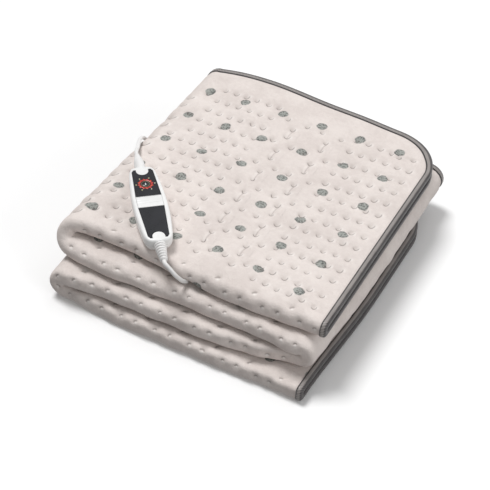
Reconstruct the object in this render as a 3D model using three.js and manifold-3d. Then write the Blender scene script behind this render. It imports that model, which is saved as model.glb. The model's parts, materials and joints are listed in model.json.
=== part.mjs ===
// An electric underblanket, folded in half along its length and then back and forth into a stack of four,
// with its in-line controller lying on top and its mains lead wound up on the floor behind it.
//
// Millimetres, +Z up. The origin is on the floor under the middle of the stack: +X runs to the right along
// the front, +Y runs from the front fold to the back. The blanket is one quilted sheet. A point of it has
// the sheet coordinates s (along its length, from the edge that ends up on top), t (across its width, 0 on
// the fold at the front) and h (out of the sheet's middle surface, towards its quilted face).

import * as THREE from 'three';
import { mergeVertices } from 'three/addons/utils/BufferGeometryUtils.js';
import Module from 'manifold-3d';

const wasm = await Module();
wasm.setup();

const TAU = 2 * Math.PI;
const GAP = 0.3;                    // clearance between separate pieces

// Driving dimensions

const SHEET = {
  length: 1482,                     // opened out, along s
  width: 800,                       // opened out, along t
  thick: 10.7,                      // quilted fleece, at the top of its puffs
  edgeThick: 7.6,                   // pressed flat under the binding
  corner: 70,                       // corner radius
  dimple: 1.7,                      // depth of a quilting spot
};

const STACK = {
  leafGap: 1.0,                     // between the two halves of the sheet
  layerGap: 1.8,                    // between one doubled layer and the next
  centre: { x: 152.6, y: -166.3 },  // middle of the stack in the plan of the tables below
};

const LAYER = 2 * SHEET.thick + STACK.leafGap;             // thickness of one doubled layer
const PITCH = LAYER + STACK.layerGap;                      // from one doubled layer to the next
const ROLL = (SHEET.thick + STACK.leafGap) / 2;            // radius of the front fold's middle surface
const ROLL_OUT = ROLL + SHEET.thick / 2;                   // and of its outer face
const ROLL_QUARTER = (Math.PI / 2) * ROLL;
const OUTER_QUARTER = (Math.PI / 2) * ROLL_OUT;
const HALF_WIDTH = SHEET.width / 2;
const EDGE_RING = 20;               // the sheet has its full thickness this far in from its edge
const TURN_STEPS = 10;              // steps of each turn between two layers
const CORNER_STEPS = 4;             // from the middle of a corner to its end

// Where each panel ends along X, from the top one down.
const TURNS = {
  topEdge: 344,
  upperLeft: -12,
  right: 325,
  lowerLeft: -2,
};

// How far forward the front fold of each layer lies, at places along X.
const FRONTS = [
  { layer: 4, x: 344, y: -355 },
  { layer: 4, x: 178, y: -350.5 },
  { layer: 4, x: 61, y: -332 },
  { layer: 4, x: -12, y: -333 },
  { layer: 3, x: -12, y: -351 },
  { layer: 3, x: 34, y: -360 },
  { layer: 3, x: 153, y: -363 },
  { layer: 3, x: 268, y: -369 },
  { layer: 3, x: 322, y: -373 },
  { layer: 2, x: 322, y: -367 },
  { layer: 2, x: 272, y: -377 },
  { layer: 2, x: 174, y: -381 },
  { layer: 2, x: 40, y: -376 },
  { layer: 2, x: -2, y: -379 },
  { layer: 1, x: -2, y: -377 },
  { layer: 1, x: 75, y: -387 },
  { layer: 1, x: 191, y: -393 },
  { layer: 1, x: 285, y: -396 },
  { layer: 1, x: 346, y: -399 },
];

// The sheet is pushed together a little behind its front fold where that fold lies far back.
const TUCK = { reach: 150, full: 25 };
const TUCKS = [
  { x: 344, y: 5 },
  { x: 283, y: 4 },
  { x: 210, y: -2.5 },
  { x: 130, y: -1 },
  { x: 50, y: 6 },
  { x: -12, y: 13 },
];

// The top of the front roll stands up in a soft crest along its right part.
const CREST = { height: 4, left: 130, rise: 200, fall: 290, right: 335, start: -10, full: 30, end: 110 };

// The right-hand ends of all but the top layer draw in towards the front.
const DRAW_IN = { by: 9, from: -190, to: -395, xFrom: 200, xTo: 345 };

// The turns on the left run out to the left towards the front.
const DRIFT = { by: 8, front: -335, back: 0, xFull: -40, xNone: 130 };

// The padding gives way where the heater's cord runs in between the two upper layers.
const CORD_DENT = { x: 151, y: -342, depth: 3.8, halfX: 24, halfY: 24 };

// Quilting: one repeat along the length. A spot sits on every row of a 'dense' column, on every other row
// of a 'sparse' one, and in pairs between those on a 'paired' one.
const QUILT = { repeat: 213, first: 26.5, row: 25.4, frontRow: 27 };
const QUILT_COLUMNS = [
  { at: 0, kind: 'dense' },
  { at: 17.5, kind: 'dense' },
  { at: 35, kind: 'dense' },
  { at: 52.5, kind: 'dense' },
  { at: 70, kind: 'dense' },
  { at: 87.5, kind: 'dense' },
  { at: 107, kind: 'sparse' },
  { at: 122, kind: 'paired' },
  { at: 137, kind: 'sparse' },
  { at: 159, kind: 'sparse' },
  { at: 174, kind: 'paired' },
  { at: 189, kind: 'sparse' },
];

const TAPE = {
  width: 10,                        // seen on each face of the sheet
  thick: 0.8,
  round: 1.5,                       // rounding of its outer edges
};

const CONTROLLER = {
  at: { x: 60, y: -272 },           // middle, in the same plan as the tables above
  turn: THREE.MathUtils.degToRad(38.6),
  height: 20,
  bevel: 3.2,
  recess: 1.3,                      // depth of the face panels' recesses
  proud: 0.2,                       // how far the face panels stand out of the shell
  axis: 12,                         // height of the cords and their strain reliefs
  bossRadius: 8.3,
  bossFrom: 58,                     // where each boss starts to rise out of the face
};

// Half outline of the controller's shell, from the dial end to the other.
const SHELL_OUTLINE = [
  { y: 73.5, x: 10.5 },
  { y: 67.5, x: 16.6 },
  { y: 50, x: 19 },
  { y: 25, x: 21.3 },
  { y: 0, x: 22.4 },
  { y: -25, x: 22 },
  { y: -50, x: 20 },
  { y: -68, x: 17.6 },
  { y: -75, x: 10.5 },
];

// Half outlines of the two dark face panels, from the controller's end to the key between them.
const UPPER_PANEL = [
  { y: 66, x: 11.4 },
  { y: 62, x: 13.8 },
  { y: 12.6, x: 16.6 },
];
const LOWER_PANEL = [
  { y: -69, x: 10.8 },
  { y: -65, x: 13.4 },
  { y: -9.4, x: 16.6 },
];
const NOTCH = { radius: 8.2, depth: 11, steps: 8 };

const DIAL = {
  y: 36,
  ring: 9.8,
  ringInner: 6.4,
  ringDepth: 0.9,
  ringProud: 0.3,
  hub: 4.6,
  marks: { count: 6, along: 12.4, across: 11.7, radius: 0.9 },
  raised: 0.35,                     // of the hub and the marks above the panel
  sunk: 1,                          // their own height, most of it inside the panel
};

const KEY = {
  y: 1.6,                           // middle of the key along the controller
  width: 33,
  long: 20,
  well: 4.6,                        // depth of the well that it rocks in
  under: 0.8,                       // free height below it
  swing: 0.4,                       // free length at each end of it
  crown: [
    { y: -10, z: 0.1 },
    { y: -2.4, z: 0.6 },
    { y: -1.2, z: 1.1 },
    { y: 1.2, z: 1.1 },
    { y: 2.4, z: 0.6 },
    { y: 10, z: 0.1 },
  ],
};

const CORD = { diameter: 5.4, sides: 8, step: 13.5 };

// Strain reliefs, from the shell outwards.
const PLAIN_RELIEF = [
  { at: 0, diameter: 14.6 },
  { at: 9, diameter: 13.2 },
  { at: 18, diameter: 10.6 },
  { at: 26, diameter: 8 },
  { at: 32, diameter: 7 },
];
const RIBBED_RELIEF = {
  collar: 2.4,
  ribs: 6,
  pitch: 4.2,
  rib: 2.5,
  first: 15.4,                      // diameter of the rib next to the shell
  last: 9.6,
  groove: 2.2,
  tip: 7.4,
};

const COIL = { x: 75, y: 75, turnDiameter: 56, wide: 4, high: 2, chamfer: 2.2 };

const PLUG = {
  x: 176, y: 62,                    // where its body starts
  turn: THREE.MathUtils.degToRad(-2),
  width: 35.3,
  thick: 13.7,
  body: 34,
  waist: 26,
  neck: 27,
  neckDiameter: 10,
  neckTip: 7.4,
  pinDiameter: 4,
  pinLength: 19,
  pinNose: 1.4,                     // length of the cone at its end
  pinSpacing: 18.6,
};

// The lead's way from the controller over the left fold and down, then along the floor to its coil.
const LEAD_ROUTE = [
  { x: -15.9, y: -171, z: 102.6 },
  { x: -24, y: -153, z: 97 },
  { x: -30.6, y: -136.5, z: 90.4 },
  { x: -35.4, y: -121.5, z: 80 },
  { x: -37, y: -108, z: 65.5 },
  { x: -38.5, y: -94, z: 48 },
  { x: -40.5, y: -77, z: 29 },
  { x: -42.5, y: -57, z: 12.5 },
  { x: -43.2, y: -34, z: 4.2 },
  { x: -42.6, y: -5, z: 3 },
  { x: -38, y: 30, z: 3 },
  { x: -23, y: 68, z: 3 },
  { x: 5, y: 100, z: 3 },
  { x: 36, y: 114.5, z: 3 },
];
const LEAD_END = { x: 66, y: 115.8, z: 3 };

// The last stretch of the lead, from the right of its coil to the plug.
const TAIL_START = { x: 116.4, y: 80.8, z: 3 };
const TAIL_ROUTE = [
  { x: 118.6, y: 72.5, z: 3 },
  { x: 124.6, y: 65.5, z: 3 },
  { x: 133, y: 62.7, z: 4.6 },
];

// The heater's cord, from the controller down over the front roll and in under the top layer.
const HEATER_ROUTE = [
  { x: 134.5, y: -358.5, z: 103.6 },
  { x: 141, y: -358.5, z: 97.2 },
  { x: 146, y: -355, z: 88.8 },
  { x: 149, y: -349.5, z: 81 },
];
const HEATER_END = { x: 151, y: -342.5, z: 75.4 };

// The folded sheet's shape

const TURN_RADIUS = PITCH / 2;
const TURN_LENGTH = Math.PI * TURN_RADIUS;

// The path of the doubled sheet's middle surface seen from the front: flat runs and half turns, top first.
const RUNS = [
  { layer: 4, length: TURNS.topEdge - TURNS.upperLeft, start: TURNS.topEdge, way: -1 },
  { layer: 3, length: TURNS.right - TURNS.upperLeft, start: TURNS.upperLeft, way: 1 },
  { layer: 2, length: TURNS.right - TURNS.lowerLeft, start: TURNS.right, way: -1 },
  { layer: 1, length: 0, start: TURNS.lowerLeft, way: 1 },
];
RUNS[3].length = SHEET.length - 3 * TURN_LENGTH - RUNS[0].length - RUNS[1].length - RUNS[2].length;
RUNS.forEach((run, k) => {
  run.from = k === 0 ? 0 : RUNS[k - 1].to + TURN_LENGTH;
  run.to = run.from + run.length;
  run.z = LAYER / 2 + (run.layer - 1) * PITCH;
});

const clamp01 = (v) => Math.min(1, Math.max(0, v));
const smooth = (from, to, v) => {
  const u = clamp01((v - from) / (to - from));
  return u * u * (3 - 2 * u);
};

// Position of the path at s, and its direction towards the half of the sheet with t > 0.
function pathAt(s) {
  for (let k = 0; k < RUNS.length; k++) {
    const run = RUNS[k];
    if (s <= run.to || k === RUNS.length - 1) {
      return { x: run.start + run.way * (s - run.from), z: run.z, nx: 0, nz: -run.way };
    }
    const next = RUNS[k + 1];
    if (s < next.from) {
      const angle = (s - run.to) / TURN_RADIUS;
      const middleZ = (run.z + next.z) / 2;
      const side = run.way * Math.sin(angle);
      const up = Math.cos(angle);
      const outer = -run.way;      // the t > 0 half is outside on the left turns, inside on the right one
      return {
        x: next.start + side * TURN_RADIUS,
        z: middleZ + up * TURN_RADIUS,
        nx: outer * side,
        nz: outer * up,
      };
    }
  }
  return null;
}

const PLAN_STATIONS = FRONTS.map((row) => {
  const run = RUNS.find((r) => r.layer === row.layer);
  return { s: run.from + run.way * (row.x - run.start), y: row.y };
});
const TUCK_STATIONS = TUCKS.map((row) => ({ s: RUNS[0].start - row.x, y: row.y }));

// A smooth line through a short table of stations.
function follow(stations, s) {
  const last = stations.length - 1;
  if (s <= stations[0].s) return stations[0].y;
  if (s >= stations[last].s) return stations[last].y;
  let k = 0;
  while (stations[k + 1].s < s) k++;
  const [a, b] = [stations[k], stations[k + 1]];
  const before = stations[Math.max(0, k - 1)];
  const after = stations[Math.min(last, k + 2)];
  const span = b.s - a.s;
  const slopeA = (b.y - before.y) / (b.s - before.s);
  const slopeB = (after.y - a.y) / (after.s - a.s);
  const u = (s - a.s) / span;
  return a.y * (1 + 2 * u) * (1 - u) ** 2 + slopeA * span * u * (1 - u) ** 2
    + b.y * u * u * (3 - 2 * u) - slopeB * span * u * u * (1 - u);
}

// Rounds the sheet's corners: each square corner block is drawn in to a quarter disc.
function roundCorner(s, t) {
  const r = SHEET.corner;
  const ds = s < r ? s - r : s > SHEET.length - r ? s - SHEET.length + r : 0;
  const half = SHEET.width / 2 - r;
  const dt = t > half ? t - half : t < -half ? t + half : 0;
  if (ds === 0 || dt === 0) return [s, t];
  const scale = Math.max(Math.abs(ds), Math.abs(dt)) / Math.hypot(ds, dt);
  return [s - ds + ds * scale, t - dt + dt * scale];
}

// A point of the folded sheet.
function place(sRaw, tRaw, h) {
  const [s, t] = roundCorner(sRaw, tRaw);
  let along;
  let out;
  if (Math.abs(t) < ROLL_QUARTER) {
    along = ROLL_OUT - (ROLL + h) * Math.cos(t / ROLL);
    out = (ROLL + h) * Math.sin(t / ROLL);
  } else {
    along = ROLL_OUT + Math.abs(t) - ROLL_QUARTER;
    out = Math.sign(t) * (ROLL + h);
  }
  const path = pathAt(s);
  let x = path.x + out * path.nx;
  let z = path.z + out * path.nz;
  const top = clamp01(1 - (s - RUNS[0].to) / TURN_LENGTH);
  const tuck = follow(TUCK_STATIONS, s) * top * smooth(TUCK.full, TUCK.reach, along);
  const y = follow(PLAN_STATIONS, s) + along - tuck;
  const crest = smooth(CREST.start, CREST.full, along) * (1 - smooth(CREST.full, CREST.end, along))
    * smooth(CREST.left, CREST.rise, x) * (1 - smooth(CREST.fall, CREST.right, x));
  z += CREST.height * top * crest * smooth(-ROLL, ROLL, out);
  const backward = 2 * clamp01((y - DRIFT.front) / (DRIFT.back - DRIFT.front)) - 1;
  x += DRIFT.by * backward * (1 - smooth(DRIFT.xFull, DRIFT.xNone, x));
  if (s > RUNS[0].to) {
    x -= DRAW_IN.by * smooth(DRAW_IN.from, DRAW_IN.to, y) * smooth(DRAW_IN.xFrom, DRAW_IN.xTo, x);
  }
  return [x - STACK.centre.x, y - STACK.centre.y, z];
}

// Surfaces from lines of points

class Skin {
  constructor() {
    this.points = [];
    this.triangles = [];
  }

  add(point) {
    this.points.push(...point);
    return this.points.length / 3 - 1;
  }

  triangle(a, b, c, flip) {
    if (flip) this.triangles.push(a, c, b);
    else this.triangles.push(a, b, c);
  }

  // Joins two lines of points that run side by side, whatever their spacing. Each point has a key that
  // grows along its line.
  stitch(lower, upper, flip) {
    let i = 0;
    let j = 0;
    while (i < lower.length - 1 || j < upper.length - 1) {
      const first = j === upper.length - 1
        || (i < lower.length - 1 && lower[i + 1].key + lower[i].key <= upper[j + 1].key + upper[j].key);
      if (first) {
        this.triangle(lower[i].id, lower[i + 1].id, upper[j].id, flip);
        i++;
      } else {
        this.triangle(lower[i].id, upper[j + 1].id, upper[j].id, flip);
        j++;
      }
    }
  }

  // Joins two closed loops with the same number of points.
  band(outer, inner, flip) {
    for (let k = 0; k < outer.length; k++) {
      const n = (k + 1) % outer.length;
      this.triangle(outer[k], outer[n], inner[n], flip);
      this.triangle(outer[k], inner[n], inner[k], flip);
    }
  }

  geometry() {
    const geometry = new THREE.BufferGeometry();
    geometry.setAttribute('position', new THREE.Float32BufferAttribute(this.points, 3));
    geometry.setIndex(outward(this.points, this.triangles));
    geometry.computeVertexNormals();
    return geometry;
  }
}

// Turns the faces of a closed surface outward where they all point inward.
function outward(points, triangles) {
  let volume = 0;
  const corner = (k) => new THREE.Vector3().fromArray(points, 3 * k);
  for (let k = 0; k < triangles.length; k += 3) {
    const [a, b, c] = [corner(triangles[k]), corner(triangles[k + 1]), corner(triangles[k + 2])];
    volume += a.dot(b.cross(c));
  }
  if (volume >= 0) return triangles;
  const turned = [];
  for (let k = 0; k < triangles.length; k += 3) {
    turned.push(triangles[k], triangles[k + 2], triangles[k + 1]);
  }
  return turned;
}

// The sheet

const turnStations = () => RUNS.slice(0, 3).flatMap((run) => {
  const steps = Array.from({ length: TURN_STEPS + 1 }, (_, k) => k / TURN_STEPS);
  return steps.map((u, k) => ({ s: run.to + u * TURN_LENGTH, kind: k % 2 ? 'dense' : null, turn: true }));
});

// Columns along the sheet that follow its quilting: one on each spot and one between each two.
function quiltColumns(from, to) {
  const spots = [];
  for (let k = 0; k * QUILT.repeat < SHEET.length; k++) {
    for (const column of QUILT_COLUMNS) {
      spots.push({ s: QUILT.first + k * QUILT.repeat + column.at, kind: column.kind, offset: k % 2 });
    }
  }
  const flat = (s) => RUNS.some((run) => s > run.from + 4 && s < run.to - 4);
  const columns = [{ s: from, kind: null }, { s: to, kind: null }, ...turnStations()];
  spots.forEach((spot, k) => {
    columns.push(spot);
    if (k) columns.push({ s: (spot.s + spots[k - 1].s) / 2, kind: null });
  });
  const wanted = (c) => c.turn || c.s === from || c.s === to || flat(c.s);
  const kept = columns.filter((c) => c.s >= from && c.s <= to && wanted(c));
  return spaced(kept.sort((a, b) => a.s - b.s), 4);
}

// Leaves out the plain columns that lie closer than a distance to the one before.
function spaced(columns, least) {
  const kept = [columns[0]];
  for (const column of columns.slice(1, -1)) {
    const fixed = column.turn;
    while (fixed && kept.length > 1 && column.s - kept.at(-1).s < least && !kept.at(-1).turn) kept.pop();
    if (fixed ? column.s > kept.at(-1).s + 1e-6 : column.s - kept.at(-1).s >= least) kept.push(column);
  }
  const last = columns.at(-1);
  while (last.s - kept.at(-1).s < least) kept.pop();
  return [...kept, last];
}

// A few columns along each flat run, and the turns.
function plainColumns(from, to) {
  const columns = [{ s: from, kind: null }, { s: to, kind: null }];
  turnStations().forEach((c) => columns.push({ ...c, kind: null }));
  for (const run of RUNS) {
    [0.25, 0.5, 0.75].forEach((u) => columns.push({ s: run.from + u * run.length, kind: null }));
  }
  return spaced(columns.filter((c) => c.s >= from && c.s <= to).sort((a, b) => a.s - b.s), 4);
}

// Rows are set out by their distance w from the fold line on the outer face.
const acrossSheet = (w) => (Math.abs(w) < OUTER_QUARTER
  ? (w * ROLL) / ROLL_OUT
  : Math.sign(w) * (ROLL_QUARTER + Math.abs(w) - OUTER_QUARTER));

const FRONT_ROWS = [
  { w: -29.7, half: -5 },
  { w: -OUTER_QUARTER, half: -4 },
  { w: -11.3, half: null },
  { w: -5.65, half: -3 },
  { w: 0, half: null },
  { w: 5.65, half: -2 },
  { w: 11.3, half: null },
  { w: OUTER_QUARTER, half: -1 },
  { w: QUILT.frontRow, half: 0 },
];
const UNDER_ROWS = [-380, -338, -250, -150, -60];
const REST_ROWS = [60, 150, 250, 338, 380];

// Whether a quilting spot sits where a column meets a row. Rows are counted in half steps of the quilting.
function isSpot(column, half) {
  if (half === null || column.kind === null) return false;
  const step = ((half % 4) + 4) % 4;
  if (column.kind === 'dense') return (half + (column.offset ?? 0)) % 2 === 0;
  return column.kind === 'sparse' ? step === 0 : step % 2 === 1;
}

function quiltedHeight(column, row) {
  const full = SHEET.thick / 2;
  return isSpot(column, row.half) ? full - SHEET.dimple : full;
}

// A block of the quilted face: rows of points over a stretch of the sheet.
function quiltBlock(skin, from, to, rows) {
  const fine = quiltColumns(from, to);
  const plain = plainColumns(from, to);
  return rows.map((row) => ({
    t: row.t,
    points: (row.quilted ? fine : plain).map((column) => ({
      key: column.s,
      id: skin.add(place(column.s, row.t, quiltedHeight(column, row) - cordDent(column.s, row.t))),
    })),
  }));
}

// How far the padding gives way at a point of the sheet where the heater's cord runs in.
function cordDent(s, t) {
  const path = pathAt(s);
  if (t >= 0 || path.z < 2 * PITCH) return 0;
  const [x, y] = place(s, t, SHEET.thick / 2);
  const dx = (x + STACK.centre.x - CORD_DENT.x) / CORD_DENT.halfX;
  const dy = (y + STACK.centre.y - CORD_DENT.y) / CORD_DENT.halfY;
  return CORD_DENT.depth * (1 - smooth(0, 1, Math.hypot(dx, dy)));
}

// The stations round the sheet's edge, as places on its outline with square corners.
function edgeStations() {
  const steps = Array.from({ length: CORNER_STEPS + 1 }, (_, k) => k / CORNER_STEPS);
  const fan = steps.map((u) => Math.tan((Math.PI / 4) * u));
  const corner = fan.map((u) => SHEET.corner * (1 - u));
  const ends = [...corner, ...corner.map((v) => SHEET.length - v)].map((s) => ({ s }));
  const middle = plainColumns(SHEET.corner, SHEET.length - SHEET.corner);
  const alongEdge = [...ends, ...middle].map((c) => c.s).sort((a, b) => a - b)
    .filter((s, k, all) => k === 0 || s - all[k - 1] > 1e-6);
  const front = FRONT_ROWS.filter((row) => row.w >= 0 && row.w < 17).map((row) => acrossSheet(row.w));
  const half = [...front, 22, 40, 65, 95, 130, 165, 205, 245, 290, ...corner.map((v) => HALF_WIDTH - v)]
    .sort((a, b) => a - b);
  const acrossEdge = [...half.slice(1).map((t) => -t).reverse(), ...half];
  return [
    alongEdge.map((s) => [s, -HALF_WIDTH]),
    acrossEdge.map((t) => [SHEET.length, t]),
    alongEdge.map((s) => [s, HALF_WIDTH]).reverse(),
    acrossEdge.map((t) => [0, t]).reverse(),
  ].map((side) => side.slice(0, -1));
}

// A station moved in from the edge by a distance, or out where the distance is negative.
function inFromEdge([s, t], distance) {
  const r = SHEET.corner;
  const scale = (r - distance) / r;
  const mid = [
    THREE.MathUtils.clamp(s, r, SHEET.length - r),
    THREE.MathUtils.clamp(t, r - HALF_WIDTH, HALF_WIDTH - r),
  ];
  return [mid[0] + (s - mid[0]) * scale, mid[1] + (t - mid[1]) * scale];
}

function buildSheet() {
  const skin = new Skin();
  const stations = edgeStations();
  const joint = RUNS[1].from + 6;   // the finely quilted top panel and its left turn end here

  const under = UNDER_ROWS.map((t) => ({ t, half: null, quilted: false }));
  const front = FRONT_ROWS.map((row) => ({ t: acrossSheet(row.w), half: row.half, quilted: true }));
  const top = [];
  for (let k = 1; acrossSheet(QUILT.frontRow + (k * QUILT.row) / 2) < 374; k++) {
    top.push({ t: acrossSheet(QUILT.frontRow + (k * QUILT.row) / 2), half: k, quilted: true });
  }
  top.push({ t: 380, half: null, quilted: true });
  const rest = REST_ROWS.map((t) => ({ t, half: null, quilted: false }));

  const topBlock = quiltBlock(skin, EDGE_RING, joint, [...under, ...front, ...top]);
  const restBlock = quiltBlock(skin, joint + 6, SHEET.length - EDGE_RING, [...under, ...front, ...rest]);
  for (const block of [topBlock, restBlock]) {
    for (let k = 0; k + 1 < block.length; k++) skin.stitch(block[k].points, block[k + 1].points, true);
  }
  const firstOf = (block) => block.map((row) => ({ key: row.t, id: row.points[0].id }));
  const lastOf = (block) => block.map((row) => ({ key: row.t, id: row.points.at(-1).id }));
  skin.stitch(firstOf(restBlock), lastOf(topBlock), true);

  const backRows = [380, 250, 100, 30];
  const frontRows = [ROLL_QUARTER, acrossSheet(11.3), acrossSheet(5.65)];
  const halfRows = [...backRows, ...frontRows];
  const innerRows = [...halfRows.map((t) => -t), 0, ...halfRows.reverse()];
  const lining = innerRows.map((t) => ({
    t,
    points: plainColumns(EDGE_RING, SHEET.length - EDGE_RING).map((column) => ({
      key: column.s,
      id: skin.add(place(column.s, t, -SHEET.thick / 2)),
    })),
  }));
  for (let k = 0; k + 1 < lining.length; k++) skin.stitch(lining[k].points, lining[k + 1].points, false);

  const ring = (distance, side) => stations.map((part) => part.map((station) => {
    const [s, t] = inFromEdge(station, distance);
    return { s, t, id: skin.add(place(s, t, (side * SHEET.edgeThick) / 2)) };
  }));
  const distances = [TAPE.width + 1, 0];
  const faceRings = distances.map((d) => ring(d, 1));
  const backRings = distances.map((d) => ring(d, -1)).reverse();
  const rings = [...faceRings, ...backRings];
  for (let k = 0; k + 1 < rings.length; k++) {
    skin.band(rings[k + 1].flat().map((p) => p.id), rings[k].flat().map((p) => p.id), true);
  }

  const face = {
    low: [...topBlock[0].points, ...restBlock[0].points],
    high: [...topBlock.at(-1).points, ...restBlock.at(-1).points],
    start: firstOf(topBlock),
    end: lastOf(restBlock),
  };
  const back = {
    low: lining[0].points,
    high: lining.at(-1).points,
    start: firstOf(lining),
    end: lastOf(lining),
  };
  for (const [edges, rim, flip] of [[face, faceRings[0], true], [back, backRings.at(-1), false]]) {
    const sides = rim.map((part, k) => [...part, rim[(k + 1) % 4][0]]);
    const byS = (part) => part.map((p) => ({ key: p.s, id: p.id })).sort((a, b) => a.key - b.key);
    const byT = (part) => part.map((p) => ({ key: p.t, id: p.id })).sort((a, b) => a.key - b.key);
    skin.stitch(byS(sides[0]), edges.low, flip);
    skin.stitch(byT(sides[1]), edges.end, flip);
    skin.stitch(edges.high, byS(sides[2]), flip);
    skin.stitch(edges.start, byT(sides[3]), flip);
  }
  return skin.geometry();
}

// The satin tape that wraps the sheet's edge all round: a C section carried along the edge.
function buildTape() {
  const inside = SHEET.edgeThick / 2 + GAP;
  const outside = inside + TAPE.thick;
  const lip = GAP + TAPE.thick;
  const section = [
    [TAPE.width, outside],
    [TAPE.round - lip, outside],
    [-lip, outside - TAPE.round],
    [-lip, TAPE.round - outside],
    [TAPE.round - lip, -outside],
    [TAPE.width, -outside],
    [TAPE.width, -inside],
    [-GAP, -inside],
    [-GAP, inside],
    [TAPE.width, inside],
  ];
  const skin = new Skin();
  const stations = edgeStations().flat();
  const loops = section.map(([distance, h]) => stations.map((station) => {
    const [s, t] = inFromEdge(station, distance);
    return skin.add(place(s, t, h));
  }));
  loops.forEach((loop, k) => skin.band(loop, loops[(k + 1) % loops.length], false));
  return skin.geometry();
}

// Hard pieces

function toSolid(geometry) {
  const bare = new THREE.BufferGeometry();
  bare.setAttribute('position', geometry.getAttribute('position').clone());
  if (geometry.index) bare.setIndex(geometry.index.clone());
  const merged = mergeVertices(bare, 1e-4);
  const triVerts = Uint32Array.from(merged.index.array);
  const vertProperties = Float32Array.from(merged.getAttribute('position').array);
  return new wasm.Manifold(new wasm.Mesh({ numProp: 3, vertProperties, triVerts }));
}

function toGeometry(solid) {
  const { vertProperties, triVerts } = solid.getMesh();
  const geometry = new THREE.BufferGeometry();
  geometry.setAttribute('position', new THREE.BufferAttribute(Float32Array.from(vertProperties), 3));
  geometry.setIndex(new THREE.BufferAttribute(Uint32Array.from(triVerts), 1));
  geometry.computeVertexNormals();
  return geometry;
}

const mirrored = (half) => [
  ...half.map((p) => new THREE.Vector2(p.x, p.y)),
  ...half.map((p) => new THREE.Vector2(-p.x, p.y)).reverse(),
];

// A prism of an outline between two heights.
function prism(points, from, to) {
  const settings = { depth: to - from, bevelEnabled: false };
  return new THREE.ExtrudeGeometry(new THREE.Shape(points), settings).translate(0, 0, from);
}

// The outline of a dark face panel, grown by a margin: tapered, its corners cut, a round notch at its end.
function panelOutline(half, margin) {
  const way = Math.sign(half[0].y);
  const [end, shoulder, inner] = half;
  const radius = NOTCH.radius - margin;
  const middle = Math.abs(end.y) - (NOTCH.depth - NOTCH.radius);
  const points = [
    new THREE.Vector2(inner.x + margin, inner.y - way * margin),
    new THREE.Vector2(shoulder.x + margin, shoulder.y),
    new THREE.Vector2(end.x + margin / 2, end.y + way * margin),
    new THREE.Vector2(radius, end.y + way * margin),
  ];
  for (let k = 0; k <= NOTCH.steps; k++) {
    const angle = (Math.PI * k) / NOTCH.steps;
    points.push(new THREE.Vector2(radius * Math.cos(angle), way * (middle - radius * Math.sin(angle))));
  }
  const sides = points.slice(0, 4).map((p) => new THREE.Vector2(-p.x, p.y));
  return [...points, ...sides.reverse()];
}

const PAST = 5;                     // how far a cutter reaches past the face that it cuts
const shellTop = CONTROLLER.height;
const panelTop = shellTop + CONTROLLER.proud;
const panelFloor = shellTop - CONTROLLER.recess;
const dialEnd = SHELL_OUTLINE[0].y;
const heaterEnd = SHELL_OUTLINE.at(-1).y;

// The round boss at one end of the shell, out of which the strain relief comes.
function buildBoss(way, reach) {
  const radius = CONTROLLER.bossRadius;
  const profile = [new THREE.Vector2(0, CONTROLLER.bossFrom)];
  for (let k = 1; k <= 4; k++) {
    const angle = (Math.PI / 2) * (k / 4);
    const rise = radius * (1 - Math.cos(angle));
    profile.push(new THREE.Vector2(radius * Math.sin(angle), CONTROLLER.bossFrom + rise));
  }
  profile.push(new THREE.Vector2(radius - 0.5, Math.abs(reach)), new THREE.Vector2(0, Math.abs(reach)));
  const geometry = new THREE.LatheGeometry(profile, 20);
  if (way < 0) geometry.rotateZ(Math.PI);
  return geometry.translate(0, 0, CONTROLLER.axis);
}

function buildShell() {
  const shell = new THREE.ExtrudeGeometry(new THREE.Shape(mirrored(SHELL_OUTLINE)), {
    depth: CONTROLLER.height - 2 * CONTROLLER.bevel,
    bevelThickness: CONTROLLER.bevel,
    bevelSize: CONTROLLER.bevel,
    bevelOffset: -CONTROLLER.bevel,
    bevelSegments: 3,
  }).translate(0, 0, CONTROLLER.bevel);
  const wellHalf = KEY.width / 2 + GAP;
  const wellLong = KEY.long / 2 + KEY.swing;
  const well = new THREE.BoxGeometry(2 * wellHalf, 2 * wellLong, 2 * KEY.well);
  well.translate(0, KEY.y, shellTop);
  let solid = toSolid(shell)
    .add(toSolid(buildBoss(1, dialEnd)))
    .add(toSolid(buildBoss(-1, heaterEnd)));
  for (const half of [UPPER_PANEL, LOWER_PANEL]) {
    solid = solid.subtract(toSolid(prism(panelOutline(half, GAP), panelFloor, panelTop + PAST)));
  }
  return toGeometry(solid.subtract(toSolid(well)));
}

function ringProfile(inner, outer, from, to) {
  const corners = [[inner, from], [outer, from], [outer, to], [inner, to], [inner, from]];
  return corners.map(([r, z]) => new THREE.Vector2(r, z));
}

// A ring round a vertical axis at the dial's middle.
function dialRing(inner, outer, from, to) {
  const ring = new THREE.LatheGeometry(ringProfile(inner, outer, from, to), 24);
  return ring.rotateX(Math.PI / 2).translate(0, DIAL.y, 0);
}

function buildUpperPanel() {
  let solid = toSolid(prism(panelOutline(UPPER_PANEL, 0), panelFloor + GAP, panelTop));
  const grooveFloor = panelTop - DIAL.ringDepth;
  const groove = dialRing(DIAL.ringInner - GAP, DIAL.ring + GAP, grooveFloor, panelTop + PAST);
  const hub = new THREE.CylinderGeometry(DIAL.hub, DIAL.hub, DIAL.sunk, 20).rotateX(Math.PI / 2);
  const middle = panelTop + DIAL.raised - DIAL.sunk / 2;
  hub.translate(0, DIAL.y, middle);
  solid = solid.subtract(toSolid(groove)).add(toSolid(hub));
  const { count, along, across, radius } = DIAL.marks;
  for (let k = 0; k < count; k++) {
    const angle = (TAU * (k + 0.5)) / count;
    const mark = new THREE.CylinderGeometry(radius, radius, DIAL.sunk, 8).rotateX(Math.PI / 2);
    mark.translate(across * Math.sin(angle), DIAL.y + along * Math.cos(angle), middle);
    solid = solid.add(toSolid(mark));
  }
  return toGeometry(solid);
}

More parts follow.
